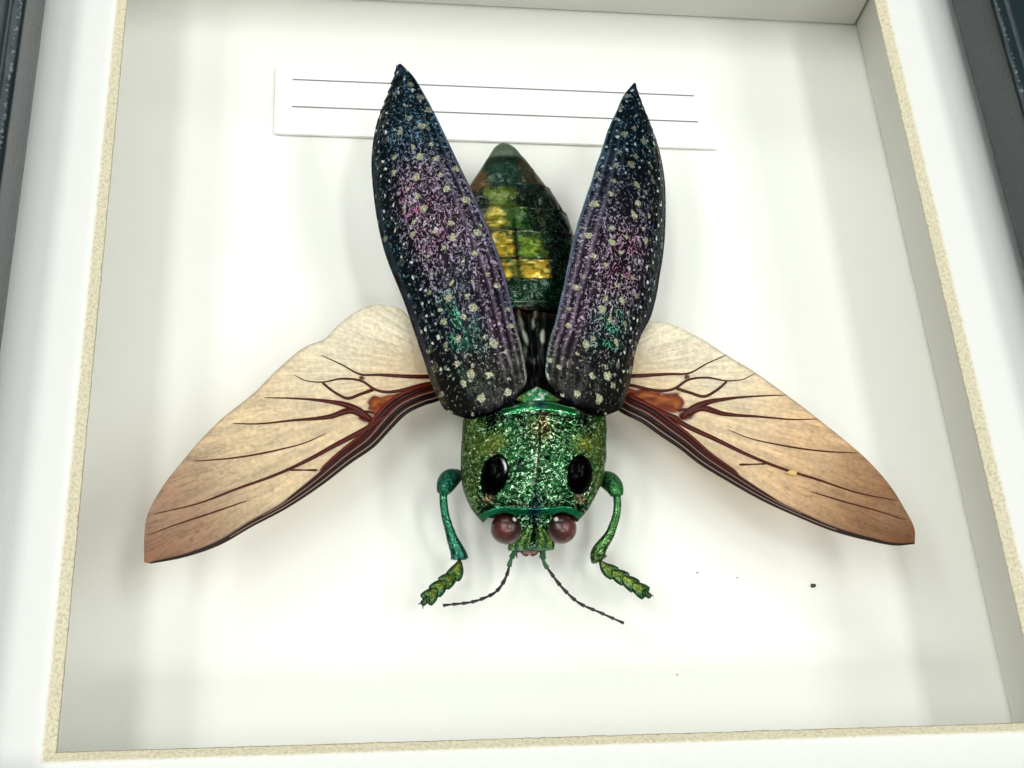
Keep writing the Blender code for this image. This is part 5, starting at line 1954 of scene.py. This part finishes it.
@dataclass
class Legs:
    """Six legs: thigh, shin, five lobed foot segments and two claws."""

    body_x: float = -0.8
    # Middle lines of the front legs, base first, left and right.
    front: tuple = (
        (Side.LEFT, ((-7.6, -15.2, 10.8), (-8.95, -16.9, 12.6), (-9.45, -18.3, 13.3), (-9.35, -20.2, 12.9),
                     (-8.7, -22.3, 12.0), (-7.95, -24.4, 10.9), (-8.25, -25.3, 10.9), (-9.9, -26.9, 11.2),
                     (-11.7, -28.7, 11.4))),
        (Side.RIGHT, ((6.0, -15.7, 10.8), (6.95, -16.9, 12.6), (7.3, -18.1, 13.3), (7.4, -19.8, 12.9),
                      (6.75, -21.9, 12.0), (5.55, -24.1, 10.9), (5.95, -24.9, 10.9), (7.8, -26.4, 11.2),
                      (10.2, -28.3, 11.4))),
    )
    # Middle lines of the tucked legs, from the body's middle line outwards.
    rear: tuple = (
        ("middle", ((3.8, -6.6, 8.25), (6.4, -6.0, 9.1), (8.5, -5.0, 9.9), (7.6, -2.8, 9.3),
                    (7.4, -0.8, 8.6), (8.0, 0.6, 8.2), (9.4, 2.4, 8.1))),
        ("hind", ((3.8, -0.6, 8.2), (6.4, 1.2, 8.9), (8.6, 6.0, 9.4), (7.8, 8.2, 9.0),
                  (7.3, 10.4, 8.5), (7.3, 11.8, 8.2), (7.6, 13.8, 8.1))),
    )
    thigh_widths: tuple = (0.5, 0.85, 0.98, 0.98, 0.85, 0.6)
    shin_widths: tuple = (0.4, 0.38, 0.4, 0.47, 0.65, 0.9)
    # Half widths of one foot segment of a front leg; the other joints' are alike.
    foot_widths: tuple = (0.16, 0.36, 0.58, 0.76, 0.76)
    last_widths: tuple = (0.2, 0.24, 0.3, 0.26)

    def leg(self, line: tuple, foot_start: float, scale: float, green: bool, detail: int) -> Solid:
        """Thigh, shin, foot and claws along one line.

        Args:
            line: the leg's middle line.
            foot_start: share of the line where the foot begins.
            scale: its thickness against a front leg's.
            green: whether it is a yellower green than the others.
            detail: sections along the thigh; the other joints follow from it.

        Returns:
            The whole leg.
        """
        knee, sides = foot_start * 0.4, max(14, detail // 2)
        # Each joint's colours: base, end and the painted highlight along its middle.
        upper = ("1E6A32", "2A7A3A", "3E9A4A") if green else ("0E5A40", "127A5E", "2A9A7A")
        shin = ("2A7A3A", "4A6A2E", "5E9A4A") if green else ("1A7A4A", "0E6A5C", "3AA07A")
        step = (1 - foot_start) / 5.0
        last, short = foot_start + 4 * step, detail // 2
        foot = Joint(self.foot_widths, 0.42, ("12401E", "1E4A1A", "98AA44"), 0.3, 0.1, 0.45)
        rows = [
            (Joint(self.thigh_widths, 0.8, upper, 0.6, 0.04), (0.02, knee), detail),
            (Joint(self.shin_widths, 0.75, shin, 0.7, 0.03), (knee - 0.03, foot_start - 0.01),
             int(detail * 1.6)),
            *((foot, (at, at + step * 1.4), short) for at in foot_start - 0.012 + step * np.arange(4)),
            (Joint(self.last_widths, 0.6, ("1A3A1A", "14180E", "2E5A26"), 0.3, 0.12), (last, 1.0), short),
        ]
        hip = Joint((0.3, 0.55, 0.4), 0.9, upper, 0.4).build(line, (0.0, 0.045), 14, sides)
        joints = [joint.build(line, span, count, sides, scale) for joint, span, count in rows]
        claws = [self.claw(line, bend, scale) for bend in ((-1,) if green else (-1, 1))]
        return joined([hip, *joints, *claws])

    def claw(self, line: tuple, bend: int, scale: float) -> Solid:
        """One hooked claw that leaves the foot's end sideways and turns down.

        Args:
            line: the leg's middle line.
            bend: which way it leaves, -1 or 1.
            scale: its thickness against a front leg's.

        Returns:
            The closed claw.
        """
        points = np.array(line)
        ahead = unit(points[-1] - points[-2])
        across = np.cross(ahead, (0, 0, 1))
        t = np.linspace(0, 1, 9)[:, None]
        path = (points[-1] - 0.3 * ahead + ahead * 0.42 * np.sin(t * 1.9) + across * bend * (0.05 + 0.34 * t)
                - np.array([0, 0, 1]) * 0.28 * t ** 2)
        shares = np.linspace(0, 1, 14)
        half = 0.1 * scale * (1 - 0.85 * shares)
        rings = limb_rings(path, shares, half, half, 8)
        return tube(rings, "17180E", marked(rings, 1.0))

    def build(self, cuticle: Material) -> None:
        """Make all six legs.

        Args:
            cuticle: their finish.
        """
        for side, line in self.front:
            add_piece(f"front_leg_{side.label}", self.leg(line, 0.66, 1.0, side is Side.RIGHT, 44), cuticle,
                      "teal_cuticle", f"leg_front_{side.label}")
        for (kind, outline), side in product(self.rear, Side):
            line = tuple((self.body_x + side.value * x, y, z) for x, y, z in outline)
            add_piece(f"{kind}_leg_{side.label}", self.leg(line, 0.74, 0.7, False, 28), cuticle,
                      "teal_cuticle", f"leg_{kind}_{side.label}")


@dataclass
class Antennae:
    """Two feelers of eleven joints, green at the base and saw-edged brown-black beyond."""

    lines: tuple = (
        (Side.LEFT, ((-2.75, -23.7, 12.2), (-3.1, -24.5, 11.3), (-3.5, -25.8, 11.0), (-4.6, -27.4, 11.0),
                     (-6.2, -28.2, 11.1), (-9.7, -28.8, 11.4))),
        (Side.RIGHT, ((0.0, -23.7, 12.2), (0.1, -24.6, 11.3), (0.8, -25.7, 11.0), (1.9, -27.3, 11.0),
                      (3.2, -28.6, 11.0), (5.1, -29.6, 11.1), (7.3, -30.8, 11.4))),
    )
    joints: int = 11
    radius: float = 0.21

    def feeler(self, line: tuple) -> Solid:
        """A row of joints that widen to their ends, thinner and thinner to the tip.

        Args:
            line: its middle line.

        Returns:
            The whole feeler.
        """
        solids = []
        within = eased(16)
        for number in range(self.joints):
            taper = 1 - 0.35 * number / self.joints
            thick = (1.45, 1.3)[number] if number < 2 else 1.0
            half = self.radius * thick * taper * (0.6 + 0.45 * within ** 1.5) * rounded(within, 0.12)
            saw = 0.2 if number >= 3 else 0.0
            shares = np.minimum((number + within * 1.04) / self.joints, 1)
            rings = limb_rings(line, shares, half * (1 + saw * within), half * 0.85, 14)
            solids.append(tube(rings, "1A5A2E" if number < 2 else "0C0A08"))
        return joined(solids)

    def build(self, shell: Material) -> None:
        """Make both feelers.

        Args:
            shell: their finish.
        """
        for side, line in self.lines:
            add_piece(f"feeler_{side.label}", self.feeler(line), shell, "brown_black_cuticle",
                      f"antenna_{side.label}")


# --- studio ---
@dataclass(frozen=True)
class SoftBox:
    """A flat studio light that faces the case."""

    name: str
    tilt: Pair  # degrees off the vertical towards +X and +Y
    size: Pair  # width and length in metres
    power: float  # in watts
    distance: float = 1.0  # from the case in metres

    def build(self) -> None:
        """Hang the light along its tilted direction and turn it to the case."""
        light = bpy.data.lights.new(self.name, "AREA")
        light.shape = "RECTANGLE"
        light.size, light.size_y = self.size
        light.energy = self.power
        direction = unit(np.array([*np.tan(np.radians(self.tilt)), 1.0]))
        side = unit(np.cross((0, 1, 0), direction))
        turn = np.eye(4)
        turn[:3] = np.stack([side, np.cross(direction, side), direction, direction * self.distance], axis=1)
        lamp = bpy.data.objects.new(self.name, light)
        lamp.matrix_world = Matrix(turn.tolist())
        bpy.context.scene.collection.objects.link(lamp)


@dataclass
class Studio:
    """Pale table, soft overhead light and the camera.

    The camera's lens and place were worked out from the mat window's edges in the picture.
    """

    lens: float = 46.639
    sensor: float = 36.0
    camera_at: Triple = (-0.021283, -0.065624, 0.130418)
    camera_axes: tuple = (
        (0.989534, -0.008236, -0.144062), (-0.05735, 0.893681, -0.445022), (0.132411, 0.448626, 0.883856),
    )
    boxes: tuple = (
        SoftBox("left_panel", (-19.0, -6.0), (0.13, 0.5), 2.5),
        SoftBox("right_panel", (17.0, -6.0), (0.13, 0.5), 2.5),
        SoftBox("left_strip", (-35.0, 0.0), (0.14, 0.9), 3.8, 1.2),
        SoftBox("right_strip", (40.0, -15.0), (0.14, 0.9), 4.3, 1.2),
        SoftBox("front_strip", (0.0, -36.0), (0.7, 0.12), 3.0, 1.2),
        SoftBox("rear_strip", (-16.0, 42.0), (0.9, 0.12), 2.4, 1.2),
    )
    fill: float = 0.16

    def table(self) -> None:
        """Lay the table top under the case."""
        mesh = bpy.data.meshes.new("table_top")
        corners = [(x, y, -0.0002) for x, y in ((-1.5, -1.5), (1.5, -1.5), (1.5, 1.5), (-1.5, 1.5))]
        mesh.from_pydata(corners, [], [(0, 1, 2, 3)])
        mesh.materials.append(TablePaint().build())
        table = bpy.data.objects.new("table_top", mesh)
        bpy.context.scene.collection.objects.link(table)

    def build(self) -> None:
        """Make the table, lights, world and camera."""
        scene = bpy.context.scene
        scene.view_settings.view_transform = "Standard"
        self.table()
        for box in self.boxes:
            box.build()
        world = bpy.data.worlds.new("studio_fill")
        world.use_nodes = True
        background = world.node_tree.nodes["Background"]
        background.inputs["Color"].default_value = tuple(linear("F6F8FA"))
        background.inputs["Strength"].default_value = self.fill
        scene.world = world

        data = bpy.data.cameras.new("camera")
        data.lens = self.lens
        data.sensor_width = self.sensor
        data.clip_start = MM
        camera = bpy.data.objects.new("camera", data)
        rows = [[*axis, at] for axis, at in zip(self.camera_axes, self.camera_at)]
        camera.matrix_world = Matrix([*rows, [0, 0, 0, 1]])
        scene.collection.objects.link(camera)
        scene.camera = camera
        log.info("studio: %d lights", len(self.boxes))


def main() -> None:
    """Build the case, the beetle and the studio, in that order."""
    logging.basicConfig(level=logging.INFO, format="%(message)s")
    CaseFrame().build(PaintedWood().build())
    MatWindow().build(Board("white mat board with cut cream core", "F7F6F3", "F7F6F3", 0.28, 0.05,
                            core="EFE6CC").build())
    CaseBoards().build()
    RetainingTabs().build(ZincPlate().build())
    GluePad().build(DriedGlue().build())

    horn = GlossShell("smooth horn", 0.3, 0.01, 0.25, 0.6).build()
    eye = GlossShell("faceted eye lens", 0.09, 0.008, 0.32, 0.3).build()
    Head().build(Cuticle("pitted emerald cuticle", 0.34).build(), eye, horn)
    Pronotum().build(Cuticle("pitted emerald shield", 0.4, 0.09).build())
    Thorax().build(Cuticle("wrinkled dark green cuticle", 0.3, 0.03, pit_shade=0.5, crest_highlight=0.5, shine=0.4,
                           roughness=0.35).build())
    Abdomen().build(Cuticle("banded gold and green cuticle", 0.45, 0.03, "050C05", 0.5, crest_highlight=0.3,
                            shine=0.6, roughness=0.24).build())
    WingCases().build(WingCaseShell().build())
    HindWings().build(WingMembrane().build())
    Legs().build(Cuticle("teal leg cuticle", 0.26, 0.05, "01100C", crest_highlight=0.4).build())
    Antennae().build(GlossShell("saw-edged feeler horn", 0.2, 0.01, 0.45, 0.1).build())
    Crumbs().build(horn)
    Studio().build()


if __name__ == "__main__":
    main()
